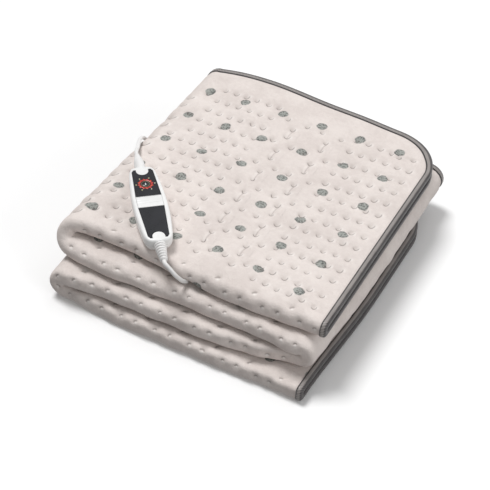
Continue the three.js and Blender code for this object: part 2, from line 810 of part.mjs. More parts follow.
const buildDialRing = () => toGeometry(toSolid(
  dialRing(DIAL.ringInner, DIAL.ring, panelTop - DIAL.ringDepth + GAP, panelTop + DIAL.ringProud),
));

const buildLowerPanel = () => prism(panelOutline(LOWER_PANEL, 0), panelFloor + GAP, panelTop);

// The key's section along the controller, carried across its width.
function buildKey() {
  const bottom = shellTop - KEY.well + KEY.under;
  const half = KEY.long / 2;
  const points = [
    new THREE.Vector2(-half + 0.4, bottom),
    new THREE.Vector2(half - 0.4, bottom),
    ...KEY.crown.map((p) => new THREE.Vector2(p.y, shellTop + p.z)).reverse(),
  ];
  return prism(points, -KEY.width / 2, KEY.width / 2)
    .rotateX(Math.PI / 2)
    .rotateZ(Math.PI / 2)
    .translate(0, KEY.y, 0);
}

// A strain relief stands on the XZ plane and points along +Y.
function buildPlainRelief() {
  const profile = PLAIN_RELIEF.map((row) => new THREE.Vector2(row.diameter / 2, row.at));
  const tip = PLAIN_RELIEF.at(-1).at;
  return new THREE.LatheGeometry([new THREE.Vector2(0, 0), ...profile, new THREE.Vector2(0, tip)], 14);
}

const ribbedLength = RIBBED_RELIEF.collar + RIBBED_RELIEF.ribs * RIBBED_RELIEF.pitch + 1;

function buildRibbedRelief() {
  const r = RIBBED_RELIEF;
  const profile = [
    new THREE.Vector2(0, 0),
    new THREE.Vector2(r.first / 2, 0),
    new THREE.Vector2(r.first / 2, r.collar),
  ];
  for (let k = 0; k < r.ribs; k++) {
    const radius = THREE.MathUtils.lerp(r.first, r.last, (k + 0.5) / r.ribs) / 2;
    const start = r.collar + k * r.pitch;
    profile.push(
      new THREE.Vector2(radius - r.groove / 2, start + 0.3),
      new THREE.Vector2(radius - r.groove / 2, start + r.pitch - r.rib),
      new THREE.Vector2(radius, start + r.pitch - r.rib + 0.4),
      new THREE.Vector2(radius, start + r.pitch),
    );
  }
  profile.push(new THREE.Vector2(r.tip / 2, ribbedLength), new THREE.Vector2(0, ribbedLength));
  return new THREE.LatheGeometry(profile, 12);
}

// Cords

const planPoint = (p) => new THREE.Vector3(p.x - STACK.centre.x, p.y - STACK.centre.y, p.z);

function buildTube(points) {
  const path = new THREE.CatmullRomCurve3(points, false, 'centripetal');
  const section = new THREE.Shape(Array.from({ length: CORD.sides }, (_, k) => {
    const angle = (TAU * (k + 0.5)) / CORD.sides;
    return new THREE.Vector2(Math.cos(angle), Math.sin(angle)).multiplyScalar(CORD.diameter / 2);
  }));
  const steps = Math.max(4, Math.round(path.getLength() / CORD.step));
  return new THREE.ExtrudeGeometry(section, { steps, extrudePath: path });
}

// The outer shape of the wound lead: a ring with a chamfered square section.
function buildCoil() {
  const middle = COIL.turnDiameter / 2;
  const half = (COIL.wide * CORD.diameter) / 2;
  const high = COIL.high * CORD.diameter;
  const c = COIL.chamfer;
  const profile = [
    [middle - half, c],
    [middle - half + c, 0],
    [middle + half - c, 0],
    [middle + half, c],
    [middle + half, high - c],
    [middle + half - c, high],
    [middle - half + c, high],
    [middle - half, high - c],
    [middle - half, c],
  ].map(([r, z]) => new THREE.Vector2(r, z));
  return new THREE.LatheGeometry(profile, 32).rotateX(Math.PI / 2);
}

// A flat two-pin plug that lies on its side: the cord comes in at its neck and the pins point along +X.
function buildPlugBody() {
  const outline = [
    new THREE.Vector2(-PLUG.neck, PLUG.neckTip / 2),
    new THREE.Vector2(-PLUG.neck + 16, PLUG.neckDiameter / 2),
    new THREE.Vector2(-4, PLUG.neckDiameter / 2 + 2),
    new THREE.Vector2(3, PLUG.waist / 2),
    new THREE.Vector2(12, PLUG.width / 2 - 0.6),
    new THREE.Vector2(PLUG.body, PLUG.width / 2),
  ];
  const closed = [...outline, ...outline.map((p) => new THREE.Vector2(p.x, -p.y)).reverse()].reverse();
  const body = new THREE.ExtrudeGeometry(new THREE.Shape(closed), {
    depth: PLUG.thick - 4,
    bevelThickness: 2,
    bevelSize: 2,
    bevelOffset: -2,
    bevelSegments: 2,
  });
  return body.translate(0, 0, 2 - PLUG.thick / 2);
}

function buildPin() {
  const r = PLUG.pinDiameter / 2;
  const profile = [
    new THREE.Vector2(0, 0),
    new THREE.Vector2(r, 0),
    new THREE.Vector2(r, PLUG.pinLength - PLUG.pinNose),
    new THREE.Vector2(r * 0.45, PLUG.pinLength),
    new THREE.Vector2(0, PLUG.pinLength),
  ];
  return new THREE.LatheGeometry(profile, 12).rotateZ(-Math.PI / 2);
}

// The whole object

const FLEECE = { color: 0xe9e0db, roughness: 0.95, metalness: 0 };
const SATIN = { color: 0x5c5857, roughness: 0.55, metalness: 0 };
const WHITE = { color: 0xf3f3f2, roughness: 0.32, metalness: 0 };
const DARK = { color: 0x23292f, roughness: 0.25, metalness: 0 };
const RED = { color: 0xd8321f, roughness: 0.4, metalness: 0 };
const BRASS = { color: 0xc9c5bd, roughness: 0.3, metalness: 0.9 };

function piece(name, geometry, finish) {
  const mesh = new THREE.Mesh(geometry, new THREE.MeshStandardMaterial(finish));
  mesh.name = name;
  return mesh;
}

const blanket = new THREE.Group();
blanket.add(piece('blanket', buildSheet(), FLEECE));
blanket.add(piece('edge_tape', buildTape(), SATIN));

const stackTop = LAYER / 2 + 3 * PITCH + ROLL_OUT;
const controller = new THREE.Group();
controller.position.copy(planPoint({ ...CONTROLLER.at, z: stackTop + GAP }));
controller.rotation.z = CONTROLLER.turn;
controller.add(piece('controller_shell', buildShell(), WHITE));
controller.add(piece('upper_panel', buildUpperPanel(), DARK));
controller.add(piece('lower_panel', buildLowerPanel(), DARK));
controller.add(piece('dial_ring', buildDialRing(), RED));
controller.add(piece('rocker_key', buildKey(), WHITE));

const leadRelief = piece('lead_relief', buildPlainRelief(), WHITE);
leadRelief.position.set(0, dialEnd + GAP, CONTROLLER.axis);
controller.add(leadRelief);

const heaterRelief = piece('heater_relief', buildRibbedRelief(), WHITE);
heaterRelief.position.set(0, heaterEnd - GAP, CONTROLLER.axis);
heaterRelief.rotation.z = Math.PI;
controller.add(heaterRelief);
controller.updateMatrixWorld(true);

const fromController = (y) => controller.localToWorld(new THREE.Vector3(0, y, CONTROLLER.axis));
const leadStart = dialEnd + 2 * GAP + PLAIN_RELIEF.at(-1).at;
const heaterStart = heaterEnd - 2 * GAP - ribbedLength;

const plug = new THREE.Group();
plug.position.copy(planPoint({ x: PLUG.x, y: PLUG.y, z: PLUG.thick / 2 + 0.1 }));
plug.rotation.z = PLUG.turn;
plug.add(piece('plug_body', buildPlugBody(), WHITE));
for (const [name, side] of [['plug_pin_left', 1], ['plug_pin_right', -1]]) {
  const pin = piece(name, buildPin(), BRASS);
  pin.position.set(PLUG.body + GAP, (side * PLUG.pinSpacing) / 2, 0);
  plug.add(pin);
}
plug.updateMatrixWorld(true);

const cords = new THREE.Group();
cords.add(piece('lead', buildTube([
  fromController(leadStart),
  fromController(leadStart + 5),
  ...LEAD_ROUTE.map(planPoint),
  planPoint(LEAD_END),
]), WHITE));
const coil = piece('lead_coil', buildCoil(), WHITE);
coil.position.copy(planPoint({ x: COIL.x, y: COIL.y, z: 0.2 }));
cords.add(coil);
cords.add(piece('lead_tail', buildTube([
  planPoint(TAIL_START),
  ...TAIL_ROUTE.map(planPoint),
  plug.localToWorld(new THREE.Vector3(-PLUG.neck - 6, 0, 0)),
  plug.localToWorld(new THREE.Vector3(-PLUG.neck - GAP, 0, 0)),
]), WHITE));
cords.add(piece('heater_cord', buildTube([
  fromController(heaterStart),
  fromController(heaterStart - 4),
  ...HEATER_ROUTE.map(planPoint),
  planPoint(HEATER_END),
]), WHITE));

const underblanket = new THREE.Group();
underblanket.add(blanket, controller, cords, plug);

export default underblanket;
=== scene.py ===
"""The folded electric underblanket, dressed for its pictures: fleece, binding, controller, cords and plug.

Lengths in the tables are millimetres in the same plan as the part's source. Points become metres, in the
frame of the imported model, when a piece is made.
"""

import json
import logging
import math
from dataclasses import dataclass, field
from enum import Enum
from typing import Any, Callable, Sequence

import bpy
import numpy as np
from mathutils import Matrix, Vector

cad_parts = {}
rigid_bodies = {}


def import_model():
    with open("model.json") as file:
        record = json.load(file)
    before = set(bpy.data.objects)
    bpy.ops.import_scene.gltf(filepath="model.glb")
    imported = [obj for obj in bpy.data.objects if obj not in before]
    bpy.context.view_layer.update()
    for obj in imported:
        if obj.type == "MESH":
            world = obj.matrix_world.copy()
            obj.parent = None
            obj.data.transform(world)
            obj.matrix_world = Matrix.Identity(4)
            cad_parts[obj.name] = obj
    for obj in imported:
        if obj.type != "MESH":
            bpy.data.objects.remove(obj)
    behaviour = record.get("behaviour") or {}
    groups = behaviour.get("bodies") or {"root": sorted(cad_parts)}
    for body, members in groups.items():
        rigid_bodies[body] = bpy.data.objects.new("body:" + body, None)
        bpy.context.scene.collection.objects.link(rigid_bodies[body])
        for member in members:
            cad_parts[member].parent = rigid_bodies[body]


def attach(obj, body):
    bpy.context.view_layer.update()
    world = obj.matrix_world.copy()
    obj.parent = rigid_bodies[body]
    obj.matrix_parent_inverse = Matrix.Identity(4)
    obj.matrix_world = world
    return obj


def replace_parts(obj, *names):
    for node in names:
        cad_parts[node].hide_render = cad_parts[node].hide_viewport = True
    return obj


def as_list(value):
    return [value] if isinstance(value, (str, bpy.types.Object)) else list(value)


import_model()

LOG = logging.getLogger("underblanket")
Array = np.ndarray
MM = 0.001
TAU = 2 * math.pi
PLAN_CENTRE = np.array([152.6, -166.3, 0.0])
STACK_BODY = "blanket_and_controller"
KEY_BODY = "key"
# the shaded side of a stitch on the top face, along and across the sheet
TO_FRONT = (-0.43, -0.90)
# what the stitch map adds where a stitch isn't on the top face
BELOW_MARK = 100.0


class Slot(Enum):
    """The record's material slots."""

    FLEECE = "fleece"
    TAPE = "satin_tape"
    SHELL = "white_shell"
    PANEL = "dark_panel"
    RING = "red_ring"
    CORD = "white_cord"
    BRASS = "plug_brass"


# Shared maths on arrays


def smoothstep(low: float, high: float, value: Array) -> Array:
    """Eases from 0 at low to 1 at high: u u (3 - 2 u) of the clamped share u."""
    u = np.clip((np.asarray(value, float) - low) / (high - low), 0.0, 1.0)
    return u * u * (3 - 2 * u)


def linear(red: int, green: int, blue: int) -> tuple[float, float, float, float]:
    """A screen colour, 0 to 255 a channel, as the linear colour that a shader takes."""
    share = np.array([red, green, blue]) / 255.0
    out = np.where(share <= 0.04045, share / 12.92, ((share + 0.055) / 1.055) ** 2.4)
    return (*[float(v) for v in out], 1.0)


def cubic_line(knots: Array, step: float) -> Array:
    """A smooth line through knots: a natural cubic spline over the chord length, sampled evenly.

    Args:
        knots: points, one a row.
        step: distance between samples.

    Returns:
        The samples, the first and last knots included.
    """
    chord = np.linalg.norm(np.diff(knots, axis=0), axis=1)
    at = np.concatenate([[0.0], np.cumsum(chord)])
    count = len(knots)
    system = np.zeros((count, count))
    right = np.zeros((count, knots.shape[1]))
    system[0, 0] = system[-1, -1] = 1.0
    inner = np.arange(1, count - 1)
    before, after = chord[:-1], chord[1:]
    system[inner, inner - 1] = before
    system[inner, inner] = 2 * (before + after)
    system[inner, inner + 1] = after
    slopes = np.diff(knots, axis=0) / chord[:, None]
    right[inner] = 6 * np.diff(slopes, axis=0)
    bend = np.linalg.solve(system, right)
    samples = np.linspace(0.0, at[-1], max(2, int(round(at[-1] / step)) + 1))
    cell = np.clip(np.searchsorted(at, samples, side="right") - 1, 0, count - 2)
    span = chord[cell][:, None]
    low = (samples - at[cell])[:, None]
    high = span - low
    return (
        bend[cell] * high**3 / (6 * span)
        + bend[cell + 1] * low**3 / (6 * span)
        + (knots[cell] / span - bend[cell] * span / 6) * high
        + (knots[cell + 1] / span - bend[cell + 1] * span / 6) * low
    )


def rounded_outline(points: Array, rounds: int = 3) -> Array:
    """Cuts the corners of a closed outline again and again, a quarter of each side at a time.

    Args:
        points: its corners in order.
        rounds: how often.

    Returns:
        The rounder outline.
    """
    for _ in range(rounds):
        ahead = np.roll(points, -1, axis=0)
        cut = np.stack([0.75 * points + 0.25 * ahead, 0.25 * points + 0.75 * ahead], axis=1)
        points = cut.reshape(-1, 2)
    return points


def inset(outline: Array, by: float) -> Array:
    """Moves a closed outline inwards along its normals.

    Args:
        outline: its points, counter-clockwise.
        by: how far.

    Returns:
        The moved points.
    """
    along = np.roll(outline, -1, axis=0) - np.roll(outline, 1, axis=0)
    along /= np.linalg.norm(along, axis=1)[:, None]
    outwards = np.stack([along[:, 1], -along[:, 0]], axis=1)
    return outline - by * outwards


# Meshes


@dataclass
class Form:
    """A surface before it is put into Blender.

    Attributes:
        points: corners in millimetres, one a row.
        faces: arrays of corner numbers, one face a row, faces of one kind an array.
        maps: for each map's name, two numbers for every corner of every face, in the faces' order.
    """

    points: Array
    faces: list[Array]
    maps: dict[str, Array] = field(default_factory=dict)

    def moved(self, place: Callable[[Array], Array]) -> "Form":
        """The same surface with its points put through a function."""
        return Form(place(self.points), self.faces, self.maps)

    def joined(self, other: "Form") -> "Form":
        """This surface and another as one."""
        shift = len(self.points)
        maps = {name: np.concatenate([self.maps[name], other.maps[name]]) for name in self.maps}
        faces = [*self.faces, *[f + shift for f in other.faces]]
        return Form(np.concatenate([self.points, other.points]), faces, maps)


def mesh_of(name: str, form: Form, smooth: bool = True) -> bpy.types.Object:
    """Puts a form into a new object at the origin.

    Args:
        name: the piece's name.
        form: the surface in millimetres.
        smooth: whether its faces are shaded smooth.

    Returns:
        The object, linked to the scene.
    """
    mesh = bpy.data.meshes.new(name)
    counts = np.concatenate([np.full(len(f), f.shape[1]) for f in form.faces])
    corners = np.concatenate([f.ravel() for f in form.faces]).astype(np.int32)
    mesh.vertices.add(len(form.points))
    mesh.vertices.foreach_set("co", (form.points * MM).astype(np.float32).ravel())
    mesh.loops.add(len(corners))
    mesh.loops.foreach_set("vertex_index", corners)
    mesh.polygons.add(len(counts))
    starts = np.concatenate([[0], np.cumsum(counts)[:-1]]).astype(np.int32)
    mesh.polygons.foreach_set("loop_start", starts)
    mesh.polygons.foreach_set("use_smooth", np.full(len(counts), smooth))
    for key, values in form.maps.items():
        layer = mesh.uv_layers.new(name=key)
        layer.uv.foreach_set("vector", values.astype(np.float32).ravel())
    mesh.update(calc_edges=True)
    mesh.validate()
    piece = bpy.data.objects.new(name, mesh)
    bpy.context.scene.collection.objects.link(piece)
    return piece


def loft(rings: Array, closed: bool = False) -> Form:
    """Joins rings of points, each closed on itself, into one surface.

    Args:
        rings: points by ring, by place round the ring, by coordinate.
        closed: whether the last ring joins the first. If not, a flat face covers each end.

    Returns:
        The surface, with a map named strip: distance along the rings and distance round them.
    """
    count, sides, _ = rings.shape
    ids = np.arange(count * sides).reshape(count, sides)
    if closed:
        ids = np.concatenate([ids, ids[:1]])
    around = np.roll(ids, -1, axis=1)
    quads = np.stack([ids[:-1], around[:-1], around[1:], ids[1:]], axis=-1).reshape(-1, 4)
    centre = rings.mean(axis=1)
    hops = np.linalg.norm(np.diff(np.concatenate([centre, centre[:1]]), axis=0), axis=1)
    along = np.concatenate([[0.0], np.cumsum(hops)])[: len(ids)]
    steps = np.linalg.norm(np.roll(rings, -1, axis=1) - rings, axis=2)
    v = np.concatenate([np.zeros((count, 1)), np.cumsum(steps, axis=1)], axis=1)
    v = np.concatenate([v, v[:1]]) if closed else v
    u = np.repeat(along[:, None], sides + 1, axis=1)
    uv = np.stack([u, v], axis=-1)
    strip = np.stack([uv[:-1, :-1], uv[:-1, 1:], uv[1:, 1:], uv[1:, :-1]], axis=2).reshape(-1, 2)
    faces = [quads]
    if not closed:
        faces += [ids[0][::-1][None], ids[-1][None]]
        strip = np.concatenate([strip, rings[0][::-1, :2], rings[-1][:, :2]])
    return facing_out(Form(rings.reshape(-1, 3), faces, {"strip": strip}))


def signed_volume(form: Form) -> float:
    """Six times a closed form's volume: over its triangles, the sum of one corner's product with the cross
    product of the two others.

    Args:
        form: a closed surface.

    Returns:
        The sum, negative where the faces point inwards.
    """
    total = 0.0
    for faces in form.faces:
        first = form.points[faces[:, 0]]
        for k in range(1, faces.shape[1] - 1):
            cross = np.cross(form.points[faces[:, k]], form.points[faces[:, k + 1]])
            total += float(np.einsum("ij,ij->", first, cross))
    return total


def facing_out(form: Form) -> Form:
    """Turns a form's faces round if they point inwards.

    Args:
        form: a closed surface.

    Returns:
        The form with its faces pointing outwards.
    """
    if signed_volume(form) >= 0:
        return form
    start = 0
    maps = {name: values.copy() for name, values in form.maps.items()}
    for faces in form.faces:
        size = faces.size
        for values in maps.values():
            part = values[start : start + size].reshape(len(faces), faces.shape[1], 2)
            values[start : start + size] = part[:, ::-1].reshape(-1, 2)
        start += size
    return Form(form.points, [f[:, ::-1] for f in form.faces], maps)


def tube(line: Array, radius: float | Array, sides: int = 12) -> Form:
    """A round tube along a line that is nowhere upright. Its ring at each point is radius (cos v side + sin
    v up), with side level and across the line.

    Args:
        line: points of its middle.
        radius: one for all points, or one for each.
        sides: corners round it.

    Returns:
        The surface, its ends closed flat.
    """
    along = np.gradient(line, axis=0)
    along /= np.linalg.norm(along, axis=1)[:, None]
    side = np.cross(along, [0.0, 0.0, 1.0])
    side /= np.linalg.norm(side, axis=1)[:, None]
    up = np.cross(side, along)
    angle = TAU * np.arange(sides) / sides
    size = np.broadcast_to(radius, len(line))[:, None, None]
    cos, sin = np.cos(angle)[None, :, None], np.sin(angle)[None, :, None]
    rings = line[:, None] + size * (cos * side[:, None] + sin * up[:, None])
    return loft(rings)


def turned(profile: Array, sides: int = 32) -> Form:
    """Turns a profile about the Y axis.

    Args:
        profile: rows of (distance along Y, radius).
        sides: corners round it.

    Returns:
        The surface, its ends closed flat.
    """
    angle = TAU * np.arange(sides) / sides
    at, radius = profile[:, 0][:, None], profile[:, 1][:, None]
    along = np.broadcast_to(at, (len(profile), sides))
    rings = np.stack([radius * np.cos(angle), along, radius * np.sin(angle)], axis=-1)
    return loft(rings)


def at_height(flat: Array, z: float) -> Array:
    """A flat outline as points at one height."""
    return np.column_stack([flat, np.full(len(flat), z)])


def disc_stack(outline: Array, steps: Sequence[tuple[float, float]]) -> Form:
    """An upright form over a flat outline: one ring for each (inset, height), ends covered."""
    rings = [at_height(inset(outline, by), z) for by, z in steps]
    return loft(np.array(rings))


def circle(radius: float, centre: tuple[float, float], sides: int = 40) -> Array:
    """A closed round outline."""
    angle = TAU * np.arange(sides) / sides
    return np.column_stack([centre[0] + radius * np.cos(angle), centre[1] + radius * np.sin(angle)])


def set_down(points: Array, turn: float, at: Sequence[float]) -> Array:
    """Moves points of a piece from its own frame to the object's.

    Args:
        points: millimetres about the piece's own middle.
        turn: how far it is turned about the upright axis, counter-clockwise.
        at: its middle in the plan of the tables.

    Returns:
        The points in millimetres in the object's frame.
    """
    cos, sin = math.cos(turn), math.sin(turn)
    x = points[..., 0] * cos - points[..., 1] * sin
    y = points[..., 0] * sin + points[..., 1] * cos
    return np.stack([x, y, points[..., 2]], axis=-1) + np.array(at) - PLAN_CENTRE


# Shaders


class Tree:
    """A material's node tree, and the one place where its nodes are made."""

    def __init__(self, name: str) -> None:
        """Starts an empty material.

        Args:
            name: the material's name.
        """
        self.material = bpy.data.materials.new(name)
        self.material.use_nodes = True
        self.nodes = self.material.node_tree.nodes
        self.links = self.material.node_tree.links
        self.nodes.clear()

    def node(
        self,
        kind: str,
        settings: dict[str, Any] | None = None,
        inputs: dict[Any, Any] | None = None,
        output: int | str | None = 0,
    ) -> "Wire | None":
        """Makes one node.

        Args:
            kind: the node's type.
            settings: its properties, set first.
            inputs: values or wires for its sockets, by name or number.
            output: the socket that comes back, or None for a node that has none.

        Returns:
            That output socket, or None.
        """
        made = self.nodes.new(kind)
        for key, value in (settings or {}).items():
            setattr(made, key, value)
        for key, value in (inputs or {}).items():
            if isinstance(value, Wire):
                self.links.new(value.socket, made.inputs[key])
            else:
                made.inputs[key].default_value = value
        return Wire(self, made.outputs[output]) if output is not None else None

    def math(self, operation: str, *values: Any) -> "Wire":
        """One Math node on values or wires."""
        return self.node("ShaderNodeMath", {"operation": operation}, dict(enumerate(values)))

    def bell(self, off: "Wire") -> "Wire":
        """The exponential of minus the square: 1 at 0, falling off to both sides."""
        return self.math("EXPONENT", off * off * -1.0)

    def ease(self, value: "Wire", low: float, high: float) -> "Wire":
        """A Map Range node, smooth at both ends.

        Args:
            value: a wire.
            low, high: where the result is 0 and 1. High may be the smaller.

        Returns:
            The eased share.
        """
        settings = {"interpolation_type": "SMOOTHSTEP"}
        if low <= high:
            return self.node("ShaderNodeMapRange", settings, {0: value, 1: low, 2: high, 3: 0.0, 4: 1.0})
        return self.node("ShaderNodeMapRange", settings, {0: value, 1: high, 2: low, 3: 1.0, 4: 0.0})

    def blend(self, share: Any, low: Any, high: Any) -> "Wire":
        """A colour between two, by a share from 0 to 1."""
        settings = {"data_type": "RGBA", "clamp_factor": True}
        return self.node("ShaderNodeMix", settings, {0: share, 6: low, 7: high}, output=2)

    def noise(self, where: "Wire", scale: float, detail: float = 2.0, roughness: float = 0.5) -> "Wire":
        """Soft noise, near 0 to 1, at so many features a unit."""
        inputs = {"Vector": where, "Scale": scale, "Detail": detail, "Roughness": roughness}
        return self.node("ShaderNodeTexNoise", None, inputs)

    def place(self) -> "Wire":
        """The point in the object's own frame, in metres."""
        return self.node("ShaderNodeTexCoord", output="Object")

    def map(self, name: str) -> tuple["Wire", "Wire", "Wire"]:
        """A piece's own map: the pair as a vector, and each of its numbers."""
        both = self.node("ShaderNodeUVMap", {"uv_map": name})
        first = self.node("ShaderNodeSeparateXYZ", None, {0: both})
        return both, first, first.output(1)

    def finish(
        self, colour: Any, roughness: Any, height: "Wire | None" = None, **constants: Any
    ) -> bpy.types.Material:
        """Ends the tree in one surface shader.

        Args:
            colour: the base colour, a constant or a wire.
            roughness: the same for roughness.
            height: relief in millimetres, or None.
            constants: the shader's other sockets, underscores for spaces.

        Returns:
            The finished material.
        """
        inputs: dict[Any, Any] = {"Base Color": colour, "Roughness": roughness}
        inputs.update({key.replace("_", " "): value for key, value in constants.items()})
        if height is not None:
            bump = {"Strength": 1.0, "Distance": MM, "Height": height}
            inputs["Normal"] = self.node("ShaderNodeBump", None, bump)
        surface = self.node("ShaderNodeBsdfPrincipled", None, inputs)
        self.node("ShaderNodeOutputMaterial", None, {"Surface": surface}, output=None)
        return self.material


class Wire:
    """A socket that takes part in plain expressions, each of which adds Math nodes."""

    def __init__(self, tree: Tree, socket: bpy.types.NodeSocket) -> None:
        """Keeps the tree and the socket."""
        self.tree = tree
        self.socket = socket

    def output(self, number: int) -> "Wire":
        """Another output of the same node."""
        return Wire(self.tree, self.socket.node.outputs[number])

    def __add__(self, other: Any) -> "Wire":
        """Sum."""
        return self.tree.math("ADD", self, other)

    def __radd__(self, other: Any) -> "Wire":
        """Sum with a number in front."""
        return self.tree.math("ADD", other, self)

    def __sub__(self, other: Any) -> "Wire":
        """Difference."""
        return self.tree.math("SUBTRACT", self, other)

    def __rsub__(self, other: Any) -> "Wire":
        """Difference from a number."""
        return self.tree.math("SUBTRACT", other, self)

    def __mul__(self, other: Any) -> "Wire":
        """Product."""
        return self.tree.math("MULTIPLY", self, other)

    def __rmul__(self, other: Any) -> "Wire":
        """Product with a number in front."""
        return self.tree.math("MULTIPLY", other, self)

    def __truediv__(self, other: Any) -> "Wire":
        """Quotient."""
        return self.tree.math("DIVIDE", self, other)


# Finishes


@dataclass(frozen=True)
class Fleece:
    """Cream fleece with printed round dots, and painted shade and painted highlights at each quilting stitch
    and crease.

    Attributes:
        light, warm: the two tints that the pile drifts between.
        dot_light, dot_dark: the same for the print.
        repeat: the print's pitch along and across the cloth.
        dot: radius of a dot.
        printed: whether this side has the print.
    """

    light: tuple[float, ...] = linear(225, 216, 211)
    warm: tuple[float, ...] = linear(212, 202, 197)
    dot_light: tuple[float, ...] = linear(158, 161, 156)
    dot_dark: tuple[float, ...] = linear(72, 76, 74)
    repeat: tuple[float, float] = (58.0, 62.0)
    dot: float = 7.3
    printed: bool = True

    def print_of(self, tree: Tree, ground: Wire) -> Wire:
        """Puts the dots on the cloth. A dot fills it where the distance to its jittered middle is under its
        radius, with a frayed rim. It is darker on one side and in blotches.

        Args:
            tree: the material's tree.
            ground: the cloth's colour.

        Returns:
            The colour with the dots.
        """
        both, p, q = tree.map("cloth")
        across, deep = p / self.repeat[0], q / self.repeat[1]
        column, row = tree.math("FLOOR", across + 0.5), tree.math("FLOOR", deep + 0.5)
        cell = tree.node("ShaderNodeCombineXYZ", None, {0: column + 7.3, 1: row + 3.1})
        flat = {"noise_dimensions": "3D"}
        chance = tree.node("ShaderNodeTexWhiteNoise", flat, {"Vector": cell}, output="Color")
        draw = tree.node("ShaderNodeSeparateXYZ", None, {0: chance})
        draws = [draw.output(k) for k in range(3)]
        x = (across - column) * self.repeat[0] + (draws[0] - 0.5) * 2.2
        y = (deep - row) * self.repeat[1] + (draws[1] - 0.5) * 2.2
        fray = tree.noise(both, 0.17, 4.0, 0.65)
        reach = tree.math("SQRT", x * x + y * y * (1.0 + 0.3 * draws[2])) + (fray - 0.5) * 4.4
        mask = tree.ease(reach, self.dot + 0.7, self.dot - 0.9)
        turn = draws[2] * TAU
        lean = (x * tree.math("COSINE", turn) + y * tree.math("SINE", turn)) / self.dot
        blotch = tree.noise(both, 0.36, 3.0, 0.75)
        rim = tree.ease(reach, self.dot - 2.6, self.dot - 0.2)
        leaning = tree.ease(draws[0], 0.35, 0.8) * 0.42
        dark = tree.ease(0.3 + leaning * lean + (blotch - 0.5) * 4.6 + rim * 0.25, 0.0, 1.0)
        ink = tree.blend(dark, self.dot_light, self.dot_dark)
        return tree.blend(mask * 0.95, ground, ink)

    def stitch_shade_and_highlight(self, tree: Tree) -> tuple[Wire, Wire]:
        """Painted shade in the fold and a painted highlight beside it at each stitch, and along each crease.

        The painted shade of the fold is an arc through the stitch, of radius 4.2 mm on the top face and 2.9
        mm elsewhere, open away from the shaded side, with a faint wider patch of painted shade round it. The
        painted highlight is a spot beside it. A crease is a line of painted shade with a line of painted
        highlight next to it.

        Args:
            tree: the material's tree.

        Returns:
            The share of painted shade and the share of painted highlight.
        """
        _, a_raw, b = tree.map("stitch")
        below = tree.math("GREATER_THAN", a_raw, BELOW_MARK / 2)
        a = a_raw - below * BELOW_MARK
        level = 1.0 - below
        radius = 2.9 + 1.3 * level
        side, lifted = a - 0.9 * level, b + radius
        reach = tree.math("SQRT", side * side + lifted * lifted) + 0.001
        off = (reach - radius) / (1.1 - 0.45 * level)
        # painted shade: the dark arc of each stitch's fold
        arc = tree.bell(off) * tree.ease(lifted / reach, 0.1, 0.75)
        pool_a, pool_b = a + 1.5 * level, b + 2.2 * level
        shade_pool = tree.math("EXPONENT", (pool_a * pool_a + pool_b * pool_b) * -0.06)
        # painted highlight: a bright spot beside each stitch
        highlight_a = a - 0.2 - 4.1 * level
        highlight_b = b + 2.9 - 1.9 * level
        painted_highlight = tree.math("EXPONENT", (highlight_a * highlight_a + highlight_b * highlight_b) * (-0.2 + 0.1 * level))
        _, gap, beyond = tree.map("crease")
        inside = tree.ease(beyond, 0.04, -0.1)
        dark_off, light_off = (gap + 0.3) / 0.9, (gap - 2.2) / 1.7
        # along each crease, a line of painted shade and a line of painted highlight beside it
        arc = arc + tree.bell(dark_off) * inside * 0.42
        painted_highlight = painted_highlight + tree.bell(light_off) * inside * 0.45
        return arc * (0.46 + 0.14 * level) + shade_pool * (0.08 + 0.06 * level), painted_highlight * (0.8 - 0.25 * level)

    def build(self) -> bpy.types.Material:
        """Makes drifting cream pile, print, painted shade and painted highlights at the stitches, and a fine
        nap in the relief.

        Returns:
            The material.
        """
        tree = Tree("fleece" if self.printed else "fleece_lining")
        where = tree.place()
        drift = tree.noise(where, 26.0, 2.0)
        grain = tree.noise(where, 620.0, 3.0, 0.7)
        tuft = tree.noise(where, 190.0, 2.0, 0.6)
        tone = tree.ease(0.5 * drift + 0.22 * grain + 0.28 * tuft, 0.34, 0.66)
        colour = tree.blend(tone, self.warm, self.light)
        height = (grain - 0.5) * 0.42 + (tuft - 0.5) * 0.7
        if self.printed:
            shade, painted_highlight = self.stitch_shade_and_highlight(tree)
            # painted highlight at the stitches under the print, then painted shade over everything
            colour = self.print_of(tree, tree.blend(painted_highlight * 0.85, colour, linear(252, 247, 243)))
            colour = tree.blend(shade, colour, linear(112, 100, 95))
            height = height - shade * 0.9 + painted_highlight * 0.8
        return tree.finish(
            colour, 0.95, height, Sheen_Weight=0.12, Sheen_Roughness=0.6, Specular_IOR_Level=0.15
        )


